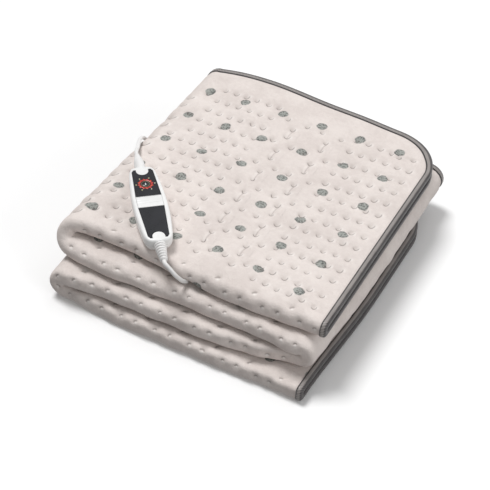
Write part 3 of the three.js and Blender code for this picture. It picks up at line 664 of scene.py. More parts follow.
@dataclass(frozen=True)
class Satin:
    """Dark grey satin tape: fine slanting ribs, small stitches with painted shade along the lip on its upper
    face, a painted highlight band beside them, and painted shade on its nose.

    Attributes:
        dark, light: the two tints that its tone drifts between: the dark one is the tape's own and also
            painted shade on its nose, the light one a painted highlight.
        seam_and_shade: colour of the row of stitches and of the painted shade in the crease along the lip.
        rib, stitch: the pitch of the ribs and of the stitches.
        middle: how far from the lip the band of painted highlight begins to fade.
    """

    dark: tuple[float, ...] = linear(54, 50, 51)
    light: tuple[float, ...] = linear(146, 140, 137)
    seam_and_shade: tuple[float, ...] = linear(44, 42, 43)
    rib: float = 2.2
    stitch: float = 3.4
    middle: float = 3.4

    def build(self) -> bpy.types.Material:
        """Makes the tape's look from the map named strip: the distance along the tape, and across its
        section from the lip on the upper face. The stitches, with painted shade, darken that lip in small
        scallops.
        A band of painted highlight lies across the upper face, and the nose beyond it is left dark as painted
        shade.

        Returns:
            The material.
        """
        tree = Tree("satin_tape")
        both, along, across = tree.map("strip")
        drift = tree.noise(both, 0.05, 3.0)
        thread = tree.noise(both, 1.3, 2.0)
        ribs = tree.math("SINE", (along + across * 0.35) * (TAU / self.rib))
        beat = tree.math("ABSOLUTE", tree.math("FRACT", along / self.stitch) - 0.5)
        wander = tree.noise(both, 0.16, 2.0)
        # dark stitches, and painted shade in the crease along the lip, in small scallops
        seam_and_shade = tree.ease(across - beat * 1.3 - (wander - 0.5) * 1.4, 1.7, 0.5)
        # painted highlight: a band across the upper face; past it the nose is left dark as painted shade
        painted_highlight_band = tree.ease(across, 1.4, 2.6) * tree.ease(across, self.middle + 4.0, self.middle + 1.6)
        uneven = 0.6 * (drift - 0.5)
        tone = 0.08 + 0.75 * painted_highlight_band + uneven + 0.4 * (thread - 0.5) + 0.22 * ribs
        tone = tree.ease(tone, 0.0, 1.0)
        colour = tree.blend(tone, self.dark, self.light)
        colour = tree.blend(seam_and_shade * 0.92, colour, self.seam_and_shade)
        rough = 0.42 + (thread - 0.5) * 0.2
        height = ribs * 0.03 + (thread - 0.5) * 0.12 - seam_and_shade * 0.5
        return tree.finish(colour, rough, height, Specular_IOR_Level=0.5, Sheen_Weight=0.1)


@dataclass(frozen=True)
class Moulded:
    """Moulded plastic: one colour with a faint drift, a fine texture in its gloss and relief."""

    name: str
    colour: tuple[float, ...]
    worn: tuple[float, ...]
    roughness: float
    texture: float = 0.02
    coat: float = 0.0

    def build(self) -> bpy.types.Material:
        """Makes the drift in the colour and the texture in gloss and relief.

        Returns:
            The material.
        """
        tree = Tree(self.name)
        where = tree.place()
        drift = tree.noise(where, 45.0, 3.0)
        pore = tree.noise(where, 1400.0, 2.0)
        colour = tree.blend(tree.ease(drift, 0.35, 0.7), self.colour, self.worn)
        rough = self.roughness + (pore - 0.5) * 0.12 + (drift - 0.5) * 0.08
        height = (pore - 0.5) * self.texture
        return tree.finish(colour, rough, height, Coat_Weight=self.coat, Coat_Roughness=0.12)


@dataclass(frozen=True)
class RingLens:
    """The dial's red lens: red teeth, dark grooves between them, and six amber patches with ragged rims."""

    red: tuple[float, ...] = linear(186, 28, 14)
    deep: tuple[float, ...] = linear(100, 14, 10)
    amber: tuple[float, ...] = linear(212, 84, 32)

    def build(self, middle: tuple[float, float]) -> bpy.types.Material:
        """Makes the pattern, turned about the dial's middle.

        Args:
            middle: its X and Y in metres.

        Returns:
            The material.
        """
        tree = Tree("red_ring")
        where = tree.place()
        x = tree.node("ShaderNodeSeparateXYZ", None, {0: where})
        y = x.output(1)
        dx, dy = x - middle[0], y - middle[1]
        angle = tree.math("ARCTAN2", dy, dx)
        speck = tree.ease(tree.math("SINE", angle * 6.0 + 0.6), 0.72, 0.95)
        groove = tree.ease(tree.math("SINE", angle * 12.0), -0.55, -0.9)
        mottle = tree.noise(where, 700.0, 3.0)
        colour = tree.blend(groove * 0.75, self.red, self.deep)
        colour = tree.blend(speck * tree.ease(mottle, 0.35, 0.6), colour, self.amber)
        return tree.finish(colour, 0.32, (mottle - 0.5) * 0.03, Coat_Weight=0.3, Coat_Roughness=0.2)


@dataclass(frozen=True)
class Metal:
    """Plated pins, their polish a little uneven."""

    def build(self) -> bpy.types.Material:
        """The material."""
        tree = Tree("plug_brass")
        scuff = tree.noise(tree.place(), 900.0, 3.0)
        colour = tree.blend(scuff, linear(196, 192, 184), linear(226, 222, 214))
        return tree.finish(colour, 0.22 + scuff * 0.2, (scuff - 0.5) * 0.01, Metallic=1.0)


WHITE_SHELL = Moulded("white_shell", linear(234, 234, 233), linear(228, 228, 227), 0.34)
WHITE_CORD = Moulded("white_cord", linear(232, 231, 230), linear(224, 223, 222), 0.42, 0.03)
DARK_PANEL = Moulded("dark_panel", linear(15, 17, 24), linear(20, 22, 29), 0.3, 0.004)
PALE_MARK = Moulded("pale_mark", linear(206, 200, 150), linear(226, 226, 216), 0.4)
OLIVE_RIM = Moulded("hub_rim", linear(120, 118, 88), linear(90, 90, 72), 0.35)


def dress(
    piece: bpy.types.Object, material: bpy.types.Material, slot: Slot, body: str = STACK_BODY
) -> bpy.types.Object:
    """Gives a piece its material and lets it ride on a body.

    Args:
        piece: the object.
        material: its only material.
        slot: the record's slot for it; not used.
        body: the body that carries it.

    Returns:
        The same object.
    """
    piece.data.materials.clear()
    piece.data.materials.append(material)
    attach(piece, body)
    LOG.info("%s: %d faces", piece.name, len(piece.data.polygons))
    return piece


# The folded cloth


@dataclass(frozen=True)
class Run:
    """A level stretch of the doubled sheet: its distances along the sheet, first X, way and height."""

    begin: float
    end: float
    start: float
    way: int
    height: float


@dataclass
class Fold:
    """Where each point of the flat sheet lies once it is folded.

    A point has s along the sheet from the edge that ends up on top, t across it with 0 on the front fold,
    and h out of its middle surface. The doubled sheet runs level, then turns half round a cylinder, four
    levels in all. Across it, it is rolled round the front fold: within a quarter turn of the fold the point
    is on a cylinder, beyond it lies flat.

    Attributes:
        length, width, thick, edge_thick, corner: the flat sheet, its rim and its round corners.
        leaf_gap, layer_gap: air between its two leaves and between the layers.
        crest, swing, draw_in: how far the top is lifted, its left side swung and the right drawn in.
        turns: X where the top layer begins, and of the ends of the three turns.
        fronts: rows of (layer, X, Y of the front line).
        tucks: rows of (X, how far the top layer is pushed together).
    """

    length: float = 1482.0
    width: float = 800.0
    thick: float = 10.7
    edge_thick: float = 7.6
    corner: float = 70.0
    leaf_gap: float = 1.0
    layer_gap: float = 1.8
    crest: float = 4.0
    swing: float = 8.0
    draw_in: float = 9.0
    turns: tuple[float, float, float, float] = (344.0, -12.0, 325.0, -2.0)
    fronts: tuple[tuple[int, float, float], ...] = (
        (4, 344, -355), (4, 178, -350.5), (4, 61, -332), (4, -12, -333),
        (3, -12, -351), (3, 34, -360), (3, 153, -363), (3, 268, -369), (3, 322, -373),
        (2, 322, -367), (2, 272, -377), (2, 174, -381), (2, 40, -376), (2, -2, -379),
        (1, -2, -377), (1, 75, -387), (1, 191, -393), (1, 285, -396), (1, 346, -399),
    )
    tucks: tuple[tuple[float, float], ...] = (
        (344, 5), (283, 4), (210, -2.5), (130, -1), (50, 6), (-12, 13),
    )

    def __post_init__(self) -> None:
        """Works out the radii, the four runs and the tables by distance along the sheet."""
        self.layer = 2 * self.thick + self.leaf_gap
        self.pitch = self.layer + self.layer_gap
        self.roll = (self.thick + self.leaf_gap) / 2
        self.roll_out = self.roll + self.thick / 2
        self.quarter = math.pi / 2 * self.roll
        self.outer_quarter = math.pi / 2 * self.roll_out
        self.turn_radius = self.pitch / 2
        self.turn_length = math.pi * self.turn_radius
        edge, upper, right, lower = self.turns
        spans = [edge - upper, right - upper, right - lower]
        spans.append(self.length - 3 * self.turn_length - sum(spans))
        runs, begin = [], 0.0
        for k, (span, start, way) in enumerate(zip(spans, (edge, upper, right, lower), (-1, 1, -1, 1))):
            runs.append(Run(begin, begin + span, start, way, self.layer / 2 + (3 - k) * self.pitch))
            begin += span + self.turn_length
        self.runs = runs
        stations = [(self.along_sheet(layer, x), y) for layer, x, y in self.fronts]
        self.front_table = np.array(stations, float)
        self.tuck_table = np.array([(edge - x, y) for x, y in self.tucks], float)

    def along_sheet(self, layer: int, x: float) -> float:
        """The distance along the sheet of the place at X on a layer."""
        run = self.runs[4 - layer]
        return run.begin + run.way * (x - run.start)

    def path(self, s: Array) -> tuple[Array, Array, Array, Array]:
        """The middle line of the doubled sheet, seen from the front.

        Args:
            s: distances along the sheet.

        Returns:
            X and Z, and X and Z of the direction towards t above 0.
        """
        x, z, nx, nz = (np.zeros_like(s) for _ in range(4))
        for k, run in enumerate(self.runs):
            after_begin = s >= run.begin if k else s <= run.end
            before_end = s <= run.end if k < 3 else s >= run.begin
            flat = after_begin & before_end
            x[flat] = run.start + run.way * (s[flat] - run.begin)
            z[flat] = run.height
            nz[flat] = -run.way
            if k == 3:
                break
            after = self.runs[k + 1]
            bent = (s > run.end) & (s < after.begin)
            angle = (s[bent] - run.end) / self.turn_radius
            x[bent] = after.start + run.way * np.sin(angle) * self.turn_radius
            z[bent] = (run.height + after.height) / 2 + np.cos(angle) * self.turn_radius
            nx[bent] = -np.sin(angle)
            nz[bent] = -run.way * np.cos(angle)
        return x, z, nx, nz

    @staticmethod
    def follow(table: Array, s: Array) -> Array:
        """A smooth line through a short table of stations: cubic between two, its slope at a station that
        of the line between its neighbours.

        Args:
            table: rows of (distance along the sheet, value).
            s: where it is read.

        Returns:
            The value at each.
        """
        at, y = table[:, 0], table[:, 1]
        last = len(at) - 1
        inner = np.clip(s, at[0], at[-1])
        k = np.clip(np.searchsorted(at, inner, side="left") - 1, 0, last - 1)
        before, after = np.maximum(k - 1, 0), np.minimum(k + 2, last)
        span = at[k + 1] - at[k]
        rise_low = (y[k + 1] - y[before]) / (at[k + 1] - at[before])
        rise_high = (y[after] - y[k]) / (at[after] - at[k])
        u = (inner - at[k]) / span
        return (
            y[k] * (1 + 2 * u) * (1 - u) ** 2
            + rise_low * span * u * (1 - u) ** 2
            + y[k + 1] * u * u * (3 - 2 * u)
            - rise_high * span * u * u * (1 - u)
        )

    def rounded(self, s: Array, t: Array) -> tuple[Array, Array]:
        """Rounds the sheet's corners: each square corner block is drawn in to a quarter disc.

        Args:
            s, t: places on the square sheet.

        Returns:
            Both numbers on the rounded one.
        """
        r, half = self.corner, self.width / 2 - self.corner
        ds = np.minimum(s - r, 0) + np.maximum(s - self.length + r, 0)
        dt = np.maximum(t - half, 0) + np.minimum(t + half, 0)
        far = np.hypot(ds, dt)
        both = (ds != 0) & (dt != 0)
        scale = np.where(both, np.maximum(np.abs(ds), np.abs(dt)) / np.where(both, far, 1.0), 1.0)
        return s - ds + ds * scale, t - dt + dt * scale

    def across(self, w: Array) -> Array:
        """t of a point from its distance to the fold line, measured on the outer face."""
        w = np.asarray(w, float)
        near = np.abs(w) < self.outer_quarter
        flat = np.sign(w) * (self.quarter + np.abs(w) - self.outer_quarter)
        return np.where(near, w * self.roll / self.roll_out, flat)

    def over(self, t: Array) -> Array:
        """The distance to the fold line on the outer face from t."""
        near = np.abs(t) < self.quarter
        flat = np.sign(t) * (self.outer_quarter + np.abs(t) - self.quarter)
        return np.where(near, t * self.roll_out / self.roll, flat)

    def on_top(self, s: Array) -> Array:
        """1 on the top layer, easing evenly to 0 over the turn at its end."""
        return np.clip(1 - (s - self.runs[0].end) / self.turn_length, 0, 1)

    def tuck_at(self, s: Array, along: Array) -> Array:
        """How far the sheet is pushed together there, top layer only."""
        top = self.on_top(s)
        return self.follow(self.tuck_table, s) * top * smoothstep(25, 150, along)

    def fullness(self, s: Array, t: Array, x: Array) -> Array:
        """How far a front roll is pressed square: not on its upper side on the top layer, and in the
        crevice below that layer only beyond the heater's cord.

        Args:
            s, t: places on the sheet.
            x: the X that they are folded to.

        Returns:
            0 for a round roll to 1 for a square one.
        """
        top = self.on_top(s)
        crevice = np.where(s < self.runs[1].end, smoothstep(160, 200, x), 1.0)
        return np.where(t > 0, 1 - top, crevice)

    def place(self, s_flat: Array, t_flat: Array, h: Array | float) -> Array:
        """Folds points of the sheet.

        On a front roll a point is at the angle t / roll, and it reaches (roll + h) divided by the n-th root
        of cos^n + sin^n, with n from 2 for a round roll to 3.5 for a square one. Beyond the roll it lies
        flat. It is then set on its layer's path and behind the front line. Last, a crest lifts the top, a
        swing moves the left side, and a draw narrows the right of the layers below.

        Args:
            s_flat, t_flat: places on the square sheet.
            h: height out of its middle surface.

        Returns:
            Points in millimetres from the object's origin.
        """
        s, t = self.rounded(np.asarray(s_flat, float), np.asarray(t_flat, float))
        near = np.abs(t) < self.quarter
        lift = self.roll + h
        px, pz, nx, nz = self.path(s)
        angle = np.where(near, t / self.roll, 0.0)
        power = 2.0 + 1.5 * self.fullness(s, t, px)
        reach = lift / (np.cos(angle) ** power + np.abs(np.sin(angle)) ** power) ** (1 / power)
        beyond = self.roll_out + np.abs(t) - self.quarter
        along = np.where(near, self.roll_out - reach * np.cos(angle), beyond)
        out = np.where(near, reach * np.sin(angle), np.sign(t) * lift)
        x, z = px + out * nx, pz + out * nz
        top = self.on_top(s)
        y = self.follow(self.front_table, s) + along - self.tuck_at(s, along)
        crest = smoothstep(-10, 30, along) * (1 - smoothstep(30, 110, along))
        crest *= smoothstep(130, 200, x) * (1 - smoothstep(290, 335, x))
        z = z + self.crest * top * crest * smoothstep(-self.roll, self.roll, out)
        backward = 2 * np.clip((y + 335) / 335, 0, 1) - 1
        x = x + self.swing * backward * (1 - smoothstep(-40, 130, x))
        draw = self.draw_in * (1 - smoothstep(-395, -190, y)) * smoothstep(200, 345, x)
        x = np.where(s > self.runs[0].end, x - draw, x)
        return np.stack([x, y, z], axis=-1) - PLAN_CENTRE


@dataclass(frozen=True)
class FrontRow:
    """The quilting along one layer's front roll: seven pairs of stitches, and single ones above them.

    The pitch of the pairs widens evenly to the right, and their row rises and falls in a shallow bow.

    Attributes:
        layer: which layer, 4 on top.
        first, pitch, widening: X of pair k is first + pitch k + widening k k.
        top, bend, crest: its rise over the front fold line is top - bend (k - crest) squared.
        lift, lean: how far above the pairs the single ones lie, and how far to the right.
        singles: how many there are.
    """

    layer: int
    first: float
    pitch: float
    widening: float
    top: float
    bend: float
    crest: float
    lift: float
    lean: float
    singles: int

    def middle(self, k: Array) -> Array:
        """The X of pair k. A k that ends in a half gives the place midway between two pairs."""
        return self.first + self.pitch * k + self.widening * k * k

    def rise(self, k: Array) -> Array:
        """How far over the front fold line pair k lies."""
        return self.top - self.bend * (k - self.crest) ** 2

    def pairs(self) -> list[tuple[int, float, float]]:
        """Layer, X and rise of the middle of each pair."""
        k = np.arange(7)
        return [(self.layer, float(x), float(up)) for x, up in zip(self.middle(k), self.rise(k))]

    def above(self) -> list[tuple[int, float, float]]:
        """Layer, X and rise of each single stitch, halfway between two pairs and above them."""
        k = np.arange(self.singles) + 0.5
        spots = zip(self.middle(k) + self.lean, self.rise(k) + self.lift)
        return [(self.layer, float(x), float(up)) for x, up in spots]


def closing_in(first: float, pitch: float, closing: float, k: Array) -> Array:
    """The Y of row k, counted from the back, where the pitch closes in evenly towards the front."""
    return first - pitch * k + closing * k * k


@dataclass
class Quilting:
    """Where the stitches are, as distances s along the sheet and w across it on the outer face.

    The level face repeats every 213 mm along the sheet: six columns with a stitch in every row, then three
    and three columns in which single stitches alternate with pairs. A like band runs along the front fold.
    """

    fold: Fold
    repeat: float = 213.0
    left_end: float = -75.0
    left_first: float = 17.7
    right_first: float = 230.5
    loose_first: tuple[float, float] = (128.5, 180.5)
    column: float = 17.5
    loose_column: float = 15.0
    pair_half: float = 9.5
    pair_gap: float = 20.6
    level_from: float = 27.0
    behind: float = 44.0
    rows: tuple[FrontRow, ...] = (
        FrontRow(4, 12.0, 51.2, 0.0, top=4.5, bend=0.25, crest=3.5, lift=16.0, lean=0.0, singles=6),
        FrontRow(3, 3.5, 47.0, 0.7, top=11.0, bend=0.08, crest=0.0, lift=22.0, lean=-2.5, singles=6),
        FrontRow(2, 0.5, 44.7, 0.7, top=9.0, bend=0.6, crest=2.0, lift=18.0, lean=-6.0, singles=7),
        FrontRow(1, -6.0, 47.3, 0.3, top=10.5, bend=0.85, crest=3.0, lift=16.0, lean=-1.0, singles=7),
    )

    def loose_columns(self, offsets: tuple[float, ...]) -> list[float]:
        """The X of the columns at these places in both groups of three, with their copies one repeat left."""
        found = [group + offset * self.loose_column for group in self.loose_first for offset in offsets]
        return found + [x - self.repeat for x in found if x - self.repeat > self.left_end]

    @staticmethod
    def drop(x: float) -> float:
        """What the slant of the loose rows adds to their Y at X, below 0 where they come nearer."""
        return 0.085 * (143.0 - x) if x > 0 else 0.0

    def single_rows(self, k: Array) -> Array:
        """The Y of the single stitches of a loose column. Its pairs lie round the places halfway between."""
        return closing_in(-8.5, 53.3, 0.9, k)

    def level(self) -> Array:
        """Stitches of the top face and its left turn.

        Returns:
            Rows of (X, Y).
        """
        found: list[tuple[float, float]] = []
        k = np.arange(15)
        for x in self.left_first + self.column * np.arange(6):
            found += [(x, y) for y in closing_in(9.4, 25.9, 0.15, k)]
        for x in self.right_first + self.column * np.arange(6):
            slant = 0.09 * (x - self.right_first)
            found += [(x, y - (slant if y < -290 else 0.0)) for y in closing_in(-7.0, 26.2, 0.15, k)]
        for x in self.loose_columns((0, 2)):
            found += [(x, y + self.drop(x)) for y in self.single_rows(np.arange(7))]
        for x in self.loose_columns((1,)):
            middles = self.single_rows(np.arange(7) + 0.5)
            found += [(x, y + self.pair_half + self.drop(x)) for y in middles]
            found += [(x, y - self.pair_half + self.drop(x)) for y in middles[:-1]]
        return np.array(found)

    def joined(self) -> Array:
        """The two stitches that each crease on the top joins, the rear one first, as (crease, end, (X, Y)).
        """
        ends = [
            [(x, y + side * self.pair_half + self.drop(x)) for side in (1, -1)]
            for x in self.loose_columns((1,)) if x > 0
            for y in self.single_rows(np.arange(6) + 0.5)
        ]
        return np.array(ends)

    def creases(self) -> Array:
        """Five places along each crease on the top, rows of (X, Y)."""
        share = np.array([0.2, 0.35, 0.5, 0.65, 0.8])[None, :, None]
        ends = self.joined()[:, None]
        return (ends[:, :, 0] * (1 - share) + ends[:, :, 1] * share).reshape(-1, 2)

    def crease_ends(self) -> Array:
        """The same two stitches as places on the sheet, as (crease, end, (s, w))."""
        return self.on_sheet(self.joined().reshape(-1, 2)).reshape(-1, 2, 2)

    def on_sheet(self, spots: Array) -> Array:
        """Finds places of the top layer on the sheet, undoing the tuck by repeated correction.

        Args:
            spots: rows of (X, Y).

        Returns:
            Rows of (s, w).
        """
        s = self.fold.runs[0].start - spots[:, 0]
        front = self.fold.follow(self.fold.front_table, s)
        along = spots[:, 1] - front
        for _ in range(5):
            along = spots[:, 1] - front + self.fold.tuck_at(s, along)
        near = along < self.fold.roll_out
        arc = self.fold.roll_out * np.arccos(np.clip(1 - along / self.fold.roll_out, -1, 1))
        w = np.where(near, arc, along - self.fold.roll_out + self.fold.outer_quarter)
        return np.column_stack([s, w])

    def below(self) -> Array:
        """Stitches along the front rolls, and behind them on the level faces below the top layer.

        Returns:
            Rows of (s, w, up), where up is the sign of w that leads up.
        """
        middles = [spot for row in self.rows for spot in row.pairs()]
        gap = self.pair_gap
        spots = [(layer, x + side * gap / 2, rise) for layer, x, rise in middles for side in (-1, 1)]
        spots += [spot for row in self.rows for spot in row.above()]
        spots += [(layer, x, rise + self.behind) for layer, x, rise in middles if layer < 4]
        found = []
        for layer, x, rise in spots:
            up = 1.0 if layer in (4, 2) else -1.0
            found.append((self.fold.along_sheet(layer, x), up * rise, up))
        return np.array(found)

    def turn_faces(self) -> Array:
        """Shallow dimples on the right and the lower left turns.

        Returns:
            Rows of (s, w).
        """
        found = []
        runs = self.fold.runs
        for start, end, way in ((runs[1].end, runs[2].begin, -1.0), (runs[2].end, runs[3].begin, 1.0)):
            for k, s in enumerate(np.arange(start - 6.0, end + 10.0, 17.6)):
                found += [(s, way * w) for w in np.arange(62.0 + 12.7 * (k % 2), 362.0, 25.4)]
        return np.array(found)

    def stitches(self) -> tuple[Array, Array]:
        """All stitches, the dimples of the turns left out.

        Returns:
            Rows of (s, w), and for each the direction (ds, dw) of its shaded side and a number: 0 on the
            top face, 1 on the front rolls and below.
        """
        level = self.on_sheet(self.level())
        level = level[level[:, 1] > self.level_from]
        marked = self.below()
        to_front = np.tile([*TO_FRONT, 0.0], (len(level), 1))
        to_upper_left = np.column_stack([0.45 * marked[:, 2], 0.89 * marked[:, 2], np.ones(len(marked))])
        return np.concatenate([level, marked[:, :2]]), np.concatenate([to_front, to_upper_left])


@dataclass
class Relief:
    """Depth of the quilted face below the top of its puffs, kept on a half-millimetre raster of (s, w).

    Each stitch is a pit, deep in its middle, with a steep wall towards the viewer's side and a gentle one
    behind, in a wide shallow hollow. A slow unevenness of a few waves lies over all.
    """

    fold: Fold
    quilting: Quilting
    cell: float = 0.5
    pit: float = 1.5
    hollow: float = 2.3
    reach: float = 17.0
    steep: float = 1.7
    gentle: float = 3.8
    pit_half: float = 3.0
    spread: float = 6.8
    most_hollow: float = 2.8
    most_pit: float = 2.0
    sway: float = 0.28

    def __post_init__(self) -> None:
        """Draws every stitch and crease on the raster."""
        self.reach_w = float(self.fold.over(np.array(self.fold.width / 2)))
        shape = (int(self.fold.length / self.cell) + 2, int(2 * self.reach_w / self.cell) + 2)
        self.depth = np.zeros(shape, np.float32)
        self.pits = np.zeros(shape, np.float32)
        self.spots, self.sides = self.quilting.stitches()
        for (s, w), (side_s, side_w, _) in zip(self.spots, self.sides):
            self.stamp(s, w, (side_s, side_w), self.pit, self.hollow)
        for s, w in self.quilting.on_sheet(self.quilting.creases()):
            self.stamp(s, w, TO_FRONT, 0.75, 0.0)
        for s, w in self.quilting.turn_faces():
            self.stamp(s, w, (0.0, 1.0), 0.3, 1.1)
        rng = np.random.default_rng(11)
        self.waves = [
            (
                rng.uniform(0.3, 0.8),
                TAU * rng.uniform(-1, 1) / 38,
                TAU * rng.uniform(-1, 1) / 30,
                rng.uniform(0, TAU),
            )
            for _ in range(14)
        ]

    def stamp(self, s: float, w: float, side: tuple[float, float], pit: float, hollow: float) -> None:
        """Adds one stitch to the rasters: a pit, steep towards its shaded side, in a wide hollow.

        Args:
            s, w: where it is.
            side: the direction of its shaded side.
            pit, hollow: their depths.
        """
        n = int(self.reach / self.cell)
        i, j = int(round(s / self.cell)), int(round((w + self.reach_w) / self.cell))
        i0, i1 = max(i - n, 0), min(i + n, self.depth.shape[0] - 1)
        j0, j1 = max(j - n, 0), min(j + n, self.depth.shape[1] - 1)
        if i0 >= i1 or j0 >= j1:
            return
        ds = np.arange(i0, i1)[:, None] * self.cell - s
        dw = np.arange(j0, j1)[None, :] * self.cell - self.reach_w - w
        b = ds * side[0] + dw * side[1]
        a = ds * -side[1] + dw * side[0]
        wall = np.where(b > 0, self.steep, self.gentle)
        self.pits[i0:i1, j0:j1] += pit * np.exp(-((a / self.pit_half) ** 2) - (b / wall) ** 2)
        self.depth[i0:i1, j0:j1] += hollow * np.exp(-(a * a + b * b) / self.spread**2)

    def at(self, s: Array, w: Array) -> Array:
        """The face's height, read between raster points. The summed depths level off at a limit, by the
        hyperbolic tangent.

        Args:
            s, w: places on the sheet.

        Returns:
            Heights, below 0 in a pit.
        """
        u = np.clip(s / self.cell, 0, self.depth.shape[0] - 1.001)
        v = np.clip((w + self.reach_w) / self.cell, 0, self.depth.shape[1] - 1.001)
        i, j = u.astype(int), v.astype(int)
        fu, fv = u - i, v - j
        total = np.zeros_like(u)
        for raster, most in ((self.depth, self.most_hollow), (self.pits, self.most_pit)):
            low = raster[i, j] * (1 - fv) + raster[i, j + 1] * fv
            high = raster[i + 1, j] * (1 - fv) + raster[i + 1, j + 1] * fv
            total = total + most * np.tanh((low * (1 - fu) + high * fu) / most)
        sway = sum(size * np.sin(ks * s + kw * w + phase) for size, ks, kw, phase in self.waves)
        return -total + self.sway * (sway - 2.0)


@dataclass
class Line:
    """Points in a row on the growing surface, with a key that grows along the row."""

    key: Array
    ids: Array


class Skin:
    """A surface that grows row by row over the sheet, with the sheet's coordinates kept at each point."""

    def __init__(self, fold: Fold) -> None:
        """Starts with nothing.

        Args:
            fold: the fold that places its points.
        """
        self.fold = fold
        self.points: list[Array] = []
        self.sheet: list[Array] = []
        self.faces: list[Array] = []
        self.lining: list[bool] = []
        self.count = 0

    def row(self, key: Array, s: Array, t: Array, h: Array | float) -> Line:
        """Adds a row of points.

        Args:
            key: numbers that grow along it.
            s, t: places on the sheet.
            h: height out of the sheet's middle surface.

        Returns:
            The row.
        """
        s, t = np.broadcast_arrays(np.asarray(s, float), np.asarray(t, float))
        self.points.append(self.fold.place(s, t, h))
        self.sheet.append(np.column_stack([s, self.fold.over(t)]))
        ids = np.arange(self.count, self.count + len(s))
        self.count += len(s)
        return Line(np.asarray(key, float), ids)

    def stitch(self, lower: Line, upper: Line, flip: bool, lining: bool = False) -> None:
        """Joins two rows whatever their spacing. Rows with the same keys get four-sided faces. Otherwise
        each step of a row makes a triangle with the place that the other row has reached by then.

        Args:
            lower, upper: the rows.
            flip: whether the faces look the other way.
            lining: whether they are the lining's.
        """
        if len(lower.key) == len(upper.key) and np.allclose(lower.key, upper.key):
            made = [np.column_stack([lower.ids[:-1], lower.ids[1:], upper.ids[1:], upper.ids[:-1]])]
        else:
            low_mid = lower.key[:-1] + lower.key[1:]
            up_mid = upper.key[:-1] + upper.key[1:]
            reached = np.searchsorted(up_mid, low_mid, side="left")
            passed = np.searchsorted(low_mid, up_mid, side="right")
            made = [
                np.column_stack([lower.ids[:-1], lower.ids[1:], upper.ids[reached]]),
                np.column_stack([lower.ids[passed], upper.ids[1:], upper.ids[:-1]]),
            ]
        for faces in made:
            self.faces.append(faces[:, ::-1] if flip else faces)
            self.lining.append(lining)

    def band(self, outer: Array, inner: Array, flip: bool) -> None:
        """Joins two closed loops with the same number of points."""
        faces = np.column_stack([outer, np.roll(outer, -1), np.roll(inner, -1), inner])
        self.faces.append(faces[:, ::-1] if flip else faces)
        self.lining.append(False)


def ladder(stops: Array, widest: float) -> Array:
    """Cuts each step wider than a limit into even ones.

    Args:
        stops: numbers that stay.
        widest: the limit.

    Returns:
        All numbers in order.
    """
    stops = np.unique(np.round(stops, 3))
    parts = np.maximum(1, np.ceil(np.diff(stops) / widest)).astype(int)
    pieces = [np.linspace(a, b, n, endpoint=False) for a, b, n in zip(stops[:-1], stops[1:], parts)]
    return np.concatenate([*pieces, stops[-1:]])


@dataclass
class Rim:
    """The sheet's edge: stations round its outline, and how they move in from it."""

    fold: Fold
    step: float = 4.0
    corner_steps: int = 9

    def stations(self) -> list[Array]:
        """Places round the outline with square corners, at even angles in a corner.

        Returns:
            Four sides of rows (s, t) in order, each without its last station.
        """
        fold = self.fold
        half = fold.width / 2
        fan = fold.corner * (1 - np.tan(math.pi / 4 * np.arange(self.corner_steps + 1) / self.corner_steps))
        runs = [v for run in fold.runs for v in (run.begin, run.end)]
        inner = [v for v in runs if fold.corner < v < fold.length - fold.corner]
        middle = ladder(np.array([fold.corner, *inner, fold.length - fold.corner]), self.step)
        s = np.unique(np.round(np.concatenate([fan, middle, fold.length - fan]), 4))
        rolled = fold.across(np.linspace(0, fold.outer_quarter, 8))
        level = ladder(np.array([fold.quarter, half - fold.corner]), self.step)
        t_half = np.concatenate([rolled, level, half - fan])
        t_half = np.unique(np.round(t_half, 4))
        t = np.concatenate([-t_half[1:][::-1], t_half])
        sides = [
            np.column_stack([s, np.full(len(s), -half)]),
            np.column_stack([np.full(len(t), fold.length), t]),
            np.column_stack([s, np.full(len(s), half)])[::-1],
            np.column_stack([np.zeros(len(t)), t])[::-1],
        ]
        return [side[:-1] for side in sides]

    def moved_in(self, stations: Array, by: float, wider: float = 0.0) -> Array:
        """Moves stations in from the edge, in a corner towards the corner's middle.

        Args:
            stations: rows of (s, t).
            by: how far.
            wider: how much further along the two long sides.

        Returns:
            Rows of (s, t).
        """
        r, half = self.fold.corner, self.fold.width / 2
        middle = np.column_stack([
            np.clip(stations[:, 0], r, self.fold.length - r),
            np.clip(stations[:, 1], r - half, half - r),
        ])
        reach = by + wider * smoothstep(half - r, half - 20, np.abs(stations[:, 1:]))
        return middle + (stations - middle) * (r - reach) / r


